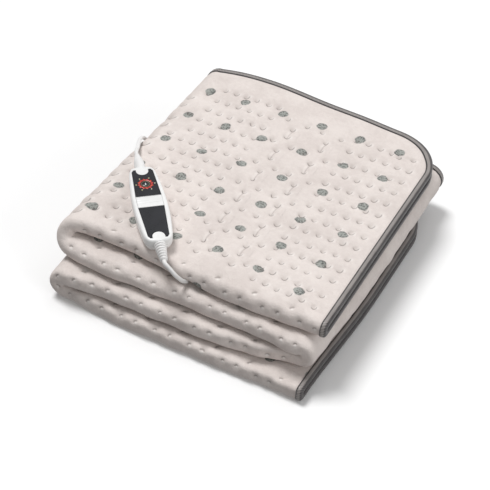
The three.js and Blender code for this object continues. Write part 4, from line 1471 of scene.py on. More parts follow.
@dataclass
class Blanket:
    """The quilted sheet, one closed skin, and what is printed on it."""

    fold: Fold
    fine: float = 2.2
    plain: float = 24.0
    row_step: float = 1.9
    margin: float = 20.0
    block_gap: float = 2.0
    band_reach: float = 46.0
    tape_width: float = 7.2
    tape_wider: float = 2.8
    crease_reach: float = 14.0
    stretched_below: float = 44.0
    stretch: float = 0.22
    dent: tuple[float, float, float, float] = (151.0, -342.0, 3.8, 24.0)
    # distance along the sheet, slip of the print along it, and across it
    below_rows: tuple[tuple[float, float, float], ...] = (
        (394, 21, -325), (731, 21, -329), (769, 21, -346), (1061, 21, -346),
        (1105, 35, -350), (1134, 33, -334), (1482, 33, -334),
    )

    def __post_init__(self) -> None:
        """Makes the relief and the rim."""
        self.relief = Relief(self.fold, Quilting(self.fold))
        self.rim = Rim(self.fold)

    def cord_dent(self, s: Array, t: Array) -> Array:
        """How far the padding gives way round the heater's cord, deepest at its middle.

        Args:
            s, t: places on the sheet.

        Returns:
            The depth at each.
        """
        x0, y0, depth, reach = self.dent
        at = self.fold.place(s, t, self.fold.thick / 2) + PLAN_CENTRE
        far = np.hypot((at[..., 0] - x0) / reach, (at[..., 1] - y0) / reach)
        _, z, _, _ = self.fold.path(s)
        pressed = depth * (1 - smoothstep(0, 1, far)) * smoothstep(0, 9, -t)
        return np.where(z >= 3 * self.fold.pitch, pressed, 0.0)

    def columns(self, begin: float, end: float, pits: bool) -> Array:
        """Where a block's fine rows have points, closer together at columns of stitches.

        Args:
            begin, end: the stretch's distances along the sheet.
            pits: whether they do come closer there.

        Returns:
            Distances along the sheet.
        """
        if not pits:
            return ladder(np.array([begin, end]), self.fine)
        at = np.unique(np.round(self.relief.quilting.on_sheet(self.relief.quilting.level())[:, 0], 1))
        near = (at[:, None] + np.array([-4.2, -2.5, -0.85, 0.85, 2.5, 4.2])).ravel()
        near = near[(near > begin + 0.6) & (near < end - 0.6)]
        return ladder(np.concatenate([[begin, end], near]), 3.3)

    def block(self, skin: Skin, begin: float, end: float, rows: Array, fine: Array, pits: bool) -> list[Line]:
        """Adds rows of the quilted face over a stretch of the sheet, joined as they go.

        Args:
            skin: the growing surface.
            begin, end: the stretch's distances along the sheet.
            rows: w of each.
            fine: whether each is fine or plain.
            pits: whether fine ones come closer at stitches.

        Returns:
            The rows.
        """
        close = self.columns(begin, end, pits)
        wide = ladder(np.array([begin, *self.marks(begin, end), end]), self.plain)
        lines: list[Line] = []
        for w, is_fine in zip(rows, fine):
            s = close if is_fine else wide
            t = np.full(len(s), float(self.fold.across(np.array(w))))
            h = self.fold.thick / 2 + self.relief.at(s, np.full(len(s), w)) - self.cord_dent(s, t)
            lines.append(skin.row(s, s, t, h))
        for low, high in zip(lines[:-1], lines[1:]):
            skin.stitch(low, high, True)
        return lines

    def marks(self, begin: float, end: float) -> list[float]:
        """Steps of the turns that fall in a stretch."""
        found = []
        for run in self.fold.runs[:3]:
            found += list(run.end + self.fold.turn_length * np.arange(15) / 14)
        return [v for v in found if begin + 1 < v < end - 1]

    def rows(self, low_fine: bool, high_fine: bool, step: float) -> tuple[Array, Array]:
        """Places rows across a block, fine in the band along the fold.

        Args:
            low_fine, high_fine: whether they are fine below and above it too.
            step: the step of those.

        Returns:
            w of each row, and whether it is fine.
        """
        band = np.arange(-self.band_reach, self.band_reach + 0.1, self.row_step)
        last = float(self.fold.over(np.array(self.fold.width / 2 - self.margin)))
        plain = np.array([75.0, 150.0, 250.0, 338.0, last])
        thick = np.append(np.arange(self.band_reach + step, last - 1.0, step), last)
        low = -(thick if low_fine else plain)[::-1]
        high = thick if high_fine else plain
        rows = np.concatenate([low, band, high])
        fine = np.repeat([low_fine, True, high_fine], [len(low), len(band), len(high)])
        return rows, fine

    def face(self, skin: Skin) -> dict[str, Line]:
        """Adds the whole quilted face, in six blocks along the sheet.

        Args:
            skin: the growing surface.

        Returns:
            Its four outer rows, by side.
        """
        runs = self.fold.runs
        turns = [runs[1].end - 3, runs[2].begin + 3, runs[2].end - 3, runs[3].begin + 3]
        first = runs[0].end + self.fold.turn_length + 3
        cuts = [self.margin, first, *turns, self.fold.length - self.margin]
        # fine towards t below 0, fine towards t above 0, close at the stitches, step of the fine rows
        plain = (False, False, False, 3.0)
        second_turn = (True, False, False, 3.0)
        third_turn = (False, True, False, 3.0)
        kinds = [(False, True, True, 1.9), plain, second_turn, plain, third_turn, plain]
        blocks = []
        for (begin, end), (low, high, pits, step) in zip(zip(cuts[:-1], cuts[1:]), kinds):
            rows, fine = self.rows(low, high, step)
            gap = 0.0 if begin == self.margin else self.block_gap
            blocks.append(self.block(skin, begin + gap, end, rows, fine, pits))
        for here, after in zip(blocks[:-1], blocks[1:]):
            skin.stitch(self.cut_row(skin, after, 0), self.cut_row(skin, here, -1), True)
        low = Line(np.concatenate([b[0].key for b in blocks]), np.concatenate([b[0].ids for b in blocks]))
        high = Line(np.concatenate([b[-1].key for b in blocks]), np.concatenate([b[-1].ids for b in blocks]))
        start, end = self.cut_row(skin, blocks[0], 0), self.cut_row(skin, blocks[-1], -1)
        return {"low": low, "high": high, "start": start, "end": end}

    @staticmethod
    def cut_row(skin: Skin, lines: list[Line], k: int) -> Line:
        """The row across a block that takes point k of each of its lines, keyed by where each lies."""
        across = np.concatenate(skin.sheet)[[line.ids[0] for line in lines], 1]
        return Line(across, np.array([line.ids[k] for line in lines]))

    def back(self, skin: Skin) -> dict[str, Line]:
        """Adds the plain lining.

        Args:
            skin: the growing surface.

        Returns:
            Its four outer rows, by side.
        """
        turned_in = float(self.fold.over(np.array(self.fold.width / 2 - self.margin)))
        half = np.array([0, 4.5, 9, 13.5, self.fold.outer_quarter, 30, 60, 100, 175, 250, 315, turned_in])
        rows = np.concatenate([-half[1:][::-1], half])
        ends = [self.margin, self.fold.length - self.margin]
        s = ladder(np.array([ends[0], *self.marks(*ends), ends[1]]), self.plain)
        lines = []
        for w in rows:
            t = np.full(len(s), float(self.fold.across(np.array(w))))
            lines.append(skin.row(s, s, t, -self.fold.thick / 2))
        for low, high in zip(lines[:-1], lines[1:]):
            skin.stitch(low, high, False, lining=True)
        key = np.array(rows)
        start = Line(key, np.array([line.ids[0] for line in lines]))
        end = Line(key, np.array([line.ids[-1] for line in lines]))
        return {"low": lines[0], "high": lines[-1], "start": start, "end": end}

    def edge(self, skin: Skin, face: dict[str, Line], back: dict[str, Line]) -> None:
        """Adds the pressed rim under the tape, joined to the face and the lining.

        Args:
            skin: the growing surface.
            face, back: their outer rows, by side.
        """
        sides = self.rim.stations()
        lengths = [len(side) for side in sides]
        flat = np.concatenate(sides)
        rings = []
        half = self.fold.edge_thick / 2
        upper = [(self.tape_width + 1, half), (4.0, half - 0.1), (1.5, half - 1.0), (0.2, half - 2.8)]
        for by, h in (*upper, *[(by, -h) for by, h in upper[::-1]]):
            at = self.rim.moved_in(flat, by, self.tape_wider if by > self.tape_width else 0.0)
            rings.append((at, skin.row(np.arange(len(at)), at[:, 0], at[:, 1], h).ids))
        for (_, low), (_, high) in zip(rings[:-1], rings[1:]):
            skin.band(high, low, True)
        starts = np.concatenate([[0], np.cumsum(lengths)])
        for outer, (at, ids), flip in ((face, rings[0], True), (back, rings[-1], False)):
            parts = [np.arange(starts[k], starts[k + 1] + 1) % len(ids) for k in range(4)]
            across = self.fold.over(at[:, 1])
            lines = []
            for k, part in enumerate(parts):
                key = at[part, 0] if k % 2 == 0 else across[part]
                order = np.argsort(key, kind="stable")
                lines.append(Line(key[order], ids[part][order]))
            lining = not flip
            skin.stitch(lines[0], outer["low"], flip, lining)
            skin.stitch(lines[1], outer["end"], flip, lining)
            skin.stitch(outer["high"], lines[2], flip, lining)
            skin.stitch(outer["start"], lines[3], flip, lining)

    @staticmethod
    def slip(x: Array, y: Array) -> Array:
        """How far the pulled cloth of the top moves its print.

        Along X it is 1 mm, 3.5 less to the right, and 8 more at the front left. Across it the print moves
        by 20 mm at the front left one way and by up to 7 at the front right the other way.

        Args:
            x, y: places in the plan.

        Returns:
            Rows of (along, across).
        """
        left = 1 - smoothstep(150, 330, x)
        along = 1.0 - 3.5 * smoothstep(60, 280, x) + 8.0 * (1 - smoothstep(-310, -220, y)) * left
        across = -20.0 * (1 - smoothstep(-310, -190, y)) * left
        across = across + 7.0 * (1 - smoothstep(-250, -60, y)) * smoothstep(150, 340, x)
        return np.column_stack([along, across])

    def print_map(self, sheet: Array) -> Array:
        """The cloth's own coordinates for its print.

        On the top they are the plan's X and Y and the slip, stretched near the front fold. On the layers
        below they are the distances along the sheet and from the fold, moved by the rows of below_rows.

        Args:
            sheet: rows of (s, w), one for each point.

        Returns:
            The two numbers of each point.
        """
        fold = self.fold
        s, t = fold.rounded(sheet[:, 0], fold.across(sheet[:, 1]))
        w = fold.over(t)
        turn = smoothstep(fold.runs[0].end, fold.runs[1].begin, s)
        p = fold.runs[0].start - s
        along = np.abs(w) - fold.outer_quarter + fold.roll_out
        front = fold.follow(fold.front_table, s)
        y = w + front + fold.roll_out - fold.outer_quarter - np.where(w > 0, fold.tuck_at(s, along), 0.0)
        slip = self.slip(p, y)
        y = np.where(w < self.stretched_below, y + self.stretch * (self.stretched_below - w), y)
        table = np.array(self.below_rows, float)
        slipped = p + np.interp(s, table[:, 0], table[:, 1])
        lower = np.column_stack([slipped, w + np.interp(s, table[:, 0], table[:, 2])])
        upper = np.column_stack([p, y]) + slip
        return upper * (1 - turn)[:, None] + lower * turn[:, None]

    def stitch_map(self, sheet: Array, faces: list[Array]) -> Array:
        """The place of each corner of each face from the stitch nearest to the face, turned so that the
        second number grows towards the stitch's shaded side. Where the stitch isn't on the top face,
        BELOW_MARK is added to the first.

        Args:
            sheet: rows of (s, w), one for each point.
            faces: as in Form.

        Returns:
            Two numbers for each corner of each face.
        """
        rng = np.random.default_rng(5)
        batch = 4000
        spots, sides = self.relief.spots, self.relief.sides
        lean = rng.normal(0, 0.24, len(spots))
        grow = rng.uniform(0.85, 1.2, len(spots))
        us = sides[:, 0] * np.cos(lean) - sides[:, 1] * np.sin(lean)
        uw = sides[:, 0] * np.sin(lean) + sides[:, 1] * np.cos(lean)
        out = []
        for group in faces:
            corner = sheet[group]
            middle = corner.mean(axis=1)
            nearest = np.empty(len(middle), int)
            for k in range(0, len(middle), batch):
                gap = middle[k : k + batch, None, :] - spots[None, :, :]
                nearest[k : k + batch] = np.argmin(np.einsum("ijk,ijk->ij", gap, gap), axis=1)
            off = (corner - spots[nearest][:, None, :]) * grow[nearest][:, None, None]
            b = off[..., 0] * us[nearest][:, None] + off[..., 1] * uw[nearest][:, None]
            a = off[..., 0] * uw[nearest][:, None] - off[..., 1] * us[nearest][:, None]
            a = a + BELOW_MARK * sides[nearest, 2][:, None]
            out.append(np.stack([a, b], axis=-1).reshape(-1, 2))
        return np.concatenate(out)

    def crease_map(self, sheet: Array) -> Array:
        """The distance of each point from the line of the nearest crease, positive towards smaller X, and
        how far past the crease's nearer end it lies, as a share of its length and below 0 between the ends.

        Args:
            sheet: rows of (s, w), one for each point.

        Returns:
            Rows of the two.
        """
        ends = self.relief.quilting.crease_ends()
        start, along = ends[:, 0], ends[:, 1] - ends[:, 0]
        off = sheet[:, None, :] - start[None]
        size = np.linalg.norm(along, axis=1)
        share = np.einsum("ijk,jk->ij", off, along) / size**2
        far = np.linalg.norm(off - np.clip(share, 0, 1)[..., None] * along[None], axis=2)
        nearest = np.argmin(far, axis=1)
        rows = np.arange(len(sheet))
        side = (off[..., 1] * along[None, :, 0] - off[..., 0] * along[None, :, 1])[rows, nearest]
        beyond = np.abs(share[rows, nearest] - 0.5) - 0.5
        reach = side / size[nearest]
        reach = np.where(far[rows, nearest] < self.crease_reach, reach, self.crease_reach)
        return np.column_stack([reach, np.clip(beyond, -0.5, 1.0)])

    def build(self) -> bpy.types.Object:
        """Makes the whole skin, from its faces to its maps.

        Returns:
            The object.
        """
        skin = Skin(self.fold)
        face = self.face(skin)
        back = self.back(skin)
        self.edge(skin, face, back)
        points, sheet = np.concatenate(skin.points), np.concatenate(skin.sheet)
        form = Form(points, skin.faces)
        if signed_volume(form) < 0:
            skin.faces = [f[:, ::-1] for f in skin.faces]
        printed, creased = self.print_map(sheet), self.crease_map(sheet)
        form = Form(points, skin.faces, {
            "cloth": np.concatenate([printed[f].reshape(-1, 2) for f in skin.faces]),
            "stitch": self.stitch_map(sheet, skin.faces),
            "crease": np.concatenate([creased[f].reshape(-1, 2) for f in skin.faces]),
        })
        piece = mesh_of("quilted_blanket", form)
        index = np.repeat(np.array(skin.lining, int), [len(f) for f in skin.faces])
        piece.data.materials.append(Fleece().build())
        piece.data.materials.append(Fleece(printed=False).build())
        piece.data.polygons.foreach_set("material_index", index.astype(np.int32))
        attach(piece, STACK_BODY)
        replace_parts(piece, "blanket")
        LOG.info("quilted_blanket: %d faces, %d stitches", len(index), len(self.relief.spots))
        return piece


@dataclass
class Binding:
    """The satin tape folded round the sheet's edge: a C section carried along the rim."""

    fold: Fold
    width: float = 7.2
    wider: float = 2.8
    clear: float = 0.3
    thick: float = 0.8
    curve: float = 5.4

    def section(self) -> Array:
        """The closed section: out over the upper face, round the edge, back under the lower face, and the
        same way inside.

        Returns:
            Rows of (distance in from the edge, height).
        """
        outer = self.fold.edge_thick / 2 + self.clear + self.thick
        lip = self.clear + self.thick
        angle = np.linspace(0, math.pi / 2, 7)[:-1]
        nose = np.column_stack([self.curve - lip - self.curve * np.sin(angle), outer * np.cos(angle) ** 0.8])
        upper = np.array([
            [self.width, outer - 0.75],
            [self.width - 0.4, outer - 0.3],
            [self.width - 1.6, outer - 0.05],
        ])
        outside = np.concatenate([upper, nose])
        inside = [[self.width, outer - 1.1], [4.3, outer - 0.8], [1.9, 3.75], [0.7, 2.9], [0.0, 1.6]]
        inside = np.array(inside)
        turned_over = np.array([1.0, -1.0])
        return np.concatenate([
            outside, [[-lip, 0.0]], outside[::-1] * turned_over,
            inside * turned_over, [[-self.clear, 0.0]], inside[::-1],
        ])

    def build(self) -> bpy.types.Object:
        """Makes the tape, with a map of the distance along it and across its section.

        Returns:
            The object.
        """
        rim = Rim(self.fold, step=3.0, corner_steps=12)
        flat = np.concatenate(rim.stations())
        rings = []
        for by, h in self.section():
            at = rim.moved_in(flat, by, self.wider * float(smoothstep(4.5, 5.5, np.array(by))))
            rings.append(self.fold.place(at[:, 0], at[:, 1], h))
        rings = np.array(rings).transpose(1, 0, 2)
        form = loft(rings, closed=True)
        piece = mesh_of("binding_tape", form)
        dress(piece, Satin().build(), Slot.TAPE)
        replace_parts(piece, "edge_tape")
        return piece


# The controller


@dataclass(frozen=True)
class Controller:
    """The in-line controller, modelled about its own middle with +Y towards the mains lead."""

    at: tuple[float, float, float] = (60.0, -272.0, 95.3)
    turn: float = math.radians(38.6)
    height: float = 20.0
    bevel: float = 3.2
    belly: float = 8.5
    parting: float = 10.5
    axis: float = 12.0
    recess: float = 1.3
    proud: float = 0.2
    gap: float = 0.3
    boss: float = 8.3
    boss_from: float = 58.0
    notch: float = 8.2
    notch_depth: float = 11.0
    shell: tuple[tuple[float, float], ...] = (
        (73.5, 10.5), (67.5, 16.6), (50, 19), (25, 21.3), (0, 22.4),
        (-25, 22), (-50, 20), (-68, 17.6), (-75, 10.5),
    )
    upper: tuple[tuple[float, float], ...] = ((66, 11.4), (62, 13.8), (12.6, 16.6))
    lower: tuple[tuple[float, float], ...] = ((-69, 10.8), (-65, 13.4), (-9.4, 16.6))
    dial: tuple[float, float] = (0.0, 36.0)

    def to_frame(self, points: Array) -> Array:
        """Turns and moves points from the controller's own frame to the object's."""
        return set_down(points, self.turn, self.at)

    def outline(self) -> Array:
        """The shell's outline, counter-clockwise, its corners rounded."""
        half = np.array([(x, y) for y, x in self.shell])
        return rounded_outline(np.concatenate([half * [-1, 1], half[::-1]]), 3)

    def panel(self, half: Sequence[tuple[float, float]], margin: float) -> Array:
        """The outline of a dark panel: tapered, its corners cut, a round notch in its end.

        Args:
            half: rows of (Y, half width), from its end inwards.
            margin: how far it is grown.

        Returns:
            The outline, counter-clockwise.
        """
        way = math.copysign(1.0, half[0][0])
        (ey, ex), (sy, sx), (iy, ix) = half
        radius = self.notch - margin
        middle = abs(ey) - (self.notch_depth - self.notch)
        end = ey + way * margin
        inner = (ix + margin, iy - way * margin)
        side = np.array([inner, (sx + margin, sy), (ex + margin / 2, end), (radius, end)])
        angle = np.linspace(0, math.pi, 25)
        notch = np.column_stack([radius * np.cos(angle), way * (middle - radius * np.sin(angle))])
        loop = np.concatenate([side, notch, (side * [-1, 1])[::-1]])
        return loop if way > 0 else loop[::-1]

    def prism(self, outline: Array, low: float, high: float, chamfer: float = 0.0) -> Form:
        """An upright form over an outline.

        Args:
            outline: counter-clockwise.
            low, high: heights of its ends.
            chamfer: how much its upper rim is cut.

        Returns:
            The form.
        """
        steps = [(0.0, low), (0.0, high - chamfer)]
        if chamfer:
            steps.append((chamfer, high))
        return disc_stack(outline, steps)

    def body_form(self) -> Form:
        """The shell without its recesses: a bowl-shaped lower half, a parting groove, and an upper half
        with a rounded rim.

        Returns:
            The form in the controller's frame.
        """
        angle = np.linspace(0, math.pi / 2, 9)
        low = [(self.belly * (1 - math.sin(a)), self.parting * (1 - math.cos(a))) for a in angle]
        groove = [(0.5, self.parting + 0.15), (0.5, self.parting + 0.55), (0.0, self.parting + 0.7)]
        angle = np.linspace(0, math.pi / 2, 7)
        top = self.height - self.bevel
        high = [(self.bevel * (1 - math.cos(a)), top + self.bevel * math.sin(a)) for a in angle]
        return disc_stack(self.outline(), [*low, *groove, *high])

    def boss_form(self, way: float) -> Form:
        """The round boss at one end: a dome that runs on as a short barrel.

        Args:
            way: 1 for the end towards the mains lead, -1 for the other.

        Returns:
            The form in the controller's frame.
        """
        angle = np.linspace(0.06, math.pi / 2, 12)
        reach = self.shell[0][0] if way > 0 else -self.shell[-1][0]
        dome = np.column_stack([self.boss_from + self.boss * (1 - np.cos(angle)), self.boss * np.sin(angle)])
        barrel = np.array([[reach - 0.6, self.boss - 0.25], [reach, self.boss - 0.8]])
        form = turned(np.concatenate([dome, barrel]), 40)
        return facing_out(form.moved(lambda p: p * [1, way, 1] + [0, 0, self.axis]))

    def build_shell(self) -> bpy.types.Object:
        """Makes the white shell: the body with the panels' recesses and the key's well cut out, and its
        bosses.

        Returns:
            The object.
        """
        piece = mesh_of("shell", self.body_form().moved(self.to_frame))
        floor = self.height - self.recess
        well = np.array([(-16.8, -8.8), (16.8, -8.8), (16.8, 12.0), (-16.8, 12.0)])
        cutters = [
            self.prism(self.panel(self.upper, self.gap), floor, self.height + 5),
            self.prism(self.panel(self.lower, self.gap), floor, self.height + 5),
            self.prism(well, self.height - 4.6, self.height + 5),
        ]
        for k, form in enumerate(cutters):
            cutter = mesh_of(f"recess_{k}", form.moved(self.to_frame))
            modifier = piece.modifiers.new("cut", "BOOLEAN")
            modifier.operation = "DIFFERENCE"
            modifier.solver = "EXACT"
            modifier.object = cutter
            bpy.context.view_layer.update()
            evaluated = piece.evaluated_get(bpy.context.evaluated_depsgraph_get())
            mesh = bpy.data.meshes.new_from_object(evaluated)
            piece.modifiers.clear()
            piece.data = mesh
            bpy.data.objects.remove(cutter)
        bosses = mesh_of("bosses", self.boss_form(1.0).joined(self.boss_form(-1.0)).moved(self.to_frame))
        with bpy.context.temp_override(active_object=piece, selected_editable_objects=[piece, bosses]):
            bpy.ops.object.join()
        piece.data.set_sharp_from_angle(angle=math.radians(32))
        piece.data.name = "shell"
        dress(piece, WHITE_SHELL.build(), Slot.SHELL)
        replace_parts(piece, "controller_shell")
        return piece

    def build_panels(self) -> list[bpy.types.Object]:
        """Makes the two dark face panels.

        Returns:
            Both objects.
        """
        material = DARK_PANEL.build()
        made = []
        low, high = self.height - self.recess + self.gap, self.height + self.proud
        for name, half, node in (
            ("dial_panel", self.upper, "upper_panel"),
            ("plain_panel", self.lower, "lower_panel"),
        ):
            form = self.prism(self.panel(half, 0.0), low, high, 0.25)
            piece = mesh_of(name, form.moved(self.to_frame))
            piece.data.set_sharp_from_angle(angle=math.radians(25))
            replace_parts(dress(piece, material, Slot.PANEL), node)
            made.append(piece)
        return made

    def build_dial(self) -> list[bpy.types.Object]:
        """Makes the red ring with its teeth, the hub in it with a rim and a tick, and six pale marks round
        it.

        Returns:
            The five objects.
        """
        top = self.height + self.proud
        cx, cy = self.dial
        angle = TAU * np.arange(144) / 144
        teeth = 9.0 + 1.3 * smoothstep(-0.35, 0.35, np.sin(12 * angle))
        outer = np.column_stack([cx + teeth * np.cos(angle), cy + teeth * np.sin(angle)])
        inner = np.column_stack([cx + 6.7 * np.cos(angle), cy + 6.7 * np.sin(angle)])
        rings = np.array([
            at_height(inner, top - 0.5),
            at_height(inner, top + 0.25),
            at_height(inner * 0.96 + outer * 0.04, top + 0.35),
            at_height(inner * 0.06 + outer * 0.94, top + 0.35),
            at_height(outer, top + 0.22),
            at_height(outer, top - 0.5),
        ])
        ring = mesh_of("ring_lens", loft(rings, closed=True).moved(self.to_frame))
        centre = self.to_frame(np.array([cx, cy, 0.0])) * MM
        dress(ring, RingLens().build((float(centre[0]), float(centre[1]))), Slot.RING)
        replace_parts(ring, "dial_ring")
        hub_form = disc_stack(circle(4.6, self.dial), [(0, top - 0.4), (0, top + 0.2), (0.3, top + 0.35)])
        hub = mesh_of("dial_hub", hub_form.moved(self.to_frame))
        hub.data.set_sharp_from_angle(angle=math.radians(30))
        dress(hub, DARK_PANEL.build(), Slot.PANEL)
        rim_steps = ((4.7, top - 0.3), (4.7, top + 0.3), (5.5, top + 0.3), (5.5, top - 0.3))
        rim_rings = np.array([at_height(circle(r, self.dial, 64), z) for r, z in rim_steps])
        rim = mesh_of("hub_rim", loft(rim_rings, closed=True).moved(self.to_frame))
        dress(rim, OLIVE_RIM.build(), Slot.PANEL)
        drop = circle(1.0, (0.0, 0.0), 24) * [0.85, 2.1]
        drop[:, 0] *= 1 - 0.28 * drop[:, 1]
        tick = disc_stack(drop + [cx, cy], [(0, top + 0.2), (0, top + 0.42)])
        pointer = mesh_of("dial_tick", tick.moved(self.to_frame))
        dress(pointer, WHITE_SHELL.build(), Slot.SHELL)
        form = None
        for k in range(6):
            turn = TAU * (k + 0.5) / 6
            spot = (cx + 12.1 * math.sin(turn), cy + 12.8 * math.cos(turn))
            mark = disc_stack(circle(0.9, spot, 14), [(0, top - 0.2), (0, top + 0.12), (0.4, top + 0.3)])
            form = mark if form is None else form.joined(mark)
        marks = mesh_of("dial_marks", form.moved(self.to_frame))
        dress(marks, PALE_MARK.build(), Slot.SHELL)
        return [ring, hub, rim, pointer, marks]

    def build_key(self) -> list[bpy.types.Object]:
        """Makes the rocking key: a low crown along the controller, with a ridge in the middle and a fine
        groove on each side, both across it.

        Returns:
            The object, in a list.
        """
        bottom, top = self.height - 3.8, self.height
        y = np.linspace(-10.0, 10.0, 41)
        ridge = 0.42 * np.exp(-((y / 1.5) ** 2))
        grooves = 0.3 * np.exp(-(((np.abs(y) - 3.0) / 0.5) ** 2))
        crown = 0.12 + 0.5 * (1 - np.abs(y) / 10.0) + ridge - grooves
        crown = np.where(np.abs(y) > 9.5, crown - 0.3 * (np.abs(y) - 9.5) / 0.5, crown)
        section = np.concatenate([np.column_stack([y, top + crown]), [[9.6, bottom], [-9.6, bottom]]])
        x = np.array([-16.5, -16.35, -15.9, -10.0, 0.0, 10.0, 15.9, 16.35, 16.5])
        drop = np.array([0.45, 0.18, 0.0, 0.0, 0.0, 0.0, 0.0, 0.18, 0.45])
        rings = []
        for at, lower in zip(x, drop):
            z = np.where(section[:, 1] > bottom + 1, section[:, 1] - lower, section[:, 1])
            rings.append(np.column_stack([np.full(len(section), at), section[:, 0] + 1.6, z]))
        piece = mesh_of("switch_key", loft(np.array(rings)).moved(self.to_frame))
        piece.data.set_sharp_from_angle(angle=math.radians(35))
        dress(piece, WHITE_SHELL.build(), Slot.SHELL, KEY_BODY)
        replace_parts(piece, "rocker_key")
        return [piece]

    def relief_profile(self, ribbed: bool) -> Array:
        """The profile of a strain relief: a bell that tapers to the cord, or a cone of ribs.

        Args:
            ribbed: whether it is the cone.

        Returns:
            Rows of (distance from the shell, radius).
        """
        if not ribbed:
            knots = [(0, 7.3), (6, 7.2), (13, 6.9), (19, 6.1), (24, 4.9), (28, 4.0), (31, 3.5), (32, 3.3)]
            return cubic_line(np.array(knots), 1.0)
        rows: list[tuple[float, float]] = [(0, 7.2), (0.4, 7.7), (2.0, 7.7), (2.4, 7.3)]
        for k in range(6):
            radius = (15.4 + (9.6 - 15.4) * (k + 0.5) / 6) / 2
            start = 2.4 + 4.2 * k
            rows += [
                (start + 0.2, radius - 1.5), (start + 1.5, radius - 1.5), (start + 1.9, radius - 0.2),
                (start + 2.4, radius), (start + 3.7, radius - 0.1), (start + 4.1, radius - 0.5),
            ]
        return np.array([*rows, (28.2, 3.7), (28.6, 3.2)], float)

    def build_reliefs(self) -> list[bpy.types.Object]:
        """Makes the strain reliefs of the mains lead and of the heater's cord.

        Returns:
            Both objects.
        """
        material = WHITE_CORD.build()
        made = []
        for name, ribbed, start, way, node in (
            ("bell_relief", False, 73.8, 1.0, "lead_relief"),
            ("ribbed_relief", True, -75.3, -1.0, "heater_relief"),
        ):
            form = turned(self.relief_profile(ribbed), 36)
            form = facing_out(form.moved(lambda p: p * [1, way, 1] + [0, start, self.axis]))
            piece = mesh_of(name, form.moved(self.to_frame))
            piece.data.set_sharp_from_angle(angle=math.radians(50))
            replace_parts(dress(piece, material, Slot.CORD), node)
            made.append(piece)
        return made

    def cord_point(self, y: float) -> Array:
        """A point on the axis of the cords, in the plan of the tables."""
        return self.to_frame(np.array([0.0, y, self.axis])) + PLAN_CENTRE


# Cords and the plug


@dataclass(frozen=True)
class Plug:
    """The flat two-pin plug, lying on its side with its pins towards +X."""

    at: tuple[float, float, float] = (176.0, 62.0, 6.95)
    turn: float = math.radians(-2.0)

    def to_frame(self, points: Array) -> Array:
        """Turns and moves points from the plug's own frame to the object's."""
        return set_down(points, self.turn, self.at)

    def build(self) -> list[bpy.types.Object]:
        """Makes the body, whose section grows from the round neck to a flat rounded oblong, and two pins.

        Returns:
            The three objects.
        """
        rows = np.array([
            # along, half width, half thickness, squareness
            (-27.0, 3.7, 3.7, 2.0), (-22.0, 4.2, 4.2, 2.0), (-11.0, 5.0, 5.0, 2.0), (-5.0, 6.4, 5.6, 2.2),
            (0.0, 9.8, 6.1, 2.6), (4.5, 13.6, 6.5, 3.0), (11.0, 16.6, 6.8, 3.4), (20.0, 17.5, 6.85, 3.6),
            (31.5, 17.6, 6.85, 3.8), (33.3, 17.3, 6.6, 3.8), (34.0, 16.5, 6.0, 3.8),
        ])
        angle = TAU * np.arange(48) / 48
        power = 2.0 / rows[:, 3][:, None]
        cos, sin = np.cos(angle)[None], np.sin(angle)[None]
        y = rows[:, 1][:, None] * np.sign(cos) * np.abs(cos) ** power
        z = rows[:, 2][:, None] * np.sign(sin) * np.abs(sin) ** power
        x = np.broadcast_to(rows[:, 0][:, None], y.shape)
        body = mesh_of("plug_moulding", loft(np.stack([x, y, z], axis=-1)).moved(self.to_frame))
        body.data.set_sharp_from_angle(angle=math.radians(50))
        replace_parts(dress(body, WHITE_CORD.build(), Slot.CORD), "plug_body")
        made = [body]
        metal = Metal().build()
        for name, side, node in (("pin_left", 9.3, "plug_pin_left"), ("pin_right", -9.3, "plug_pin_right")):
            profile = [(0, 2.0), (9.5, 2.0), (9.8, 1.85), (17.4, 1.85), (18.5, 1.5), (19.0, 0.8)]
            form = turned(np.array(profile, float), 20)
            form = form.moved(lambda p: np.stack([p[:, 1] + 34.3, p[:, 0] + side, p[:, 2]], axis=-1))
            pin = mesh_of(name, facing_out(form).moved(self.to_frame))
            pin.data.set_sharp_from_angle(angle=math.radians(40))
            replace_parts(dress(pin, metal, Slot.BRASS), node)
            made.append(pin)
        return made


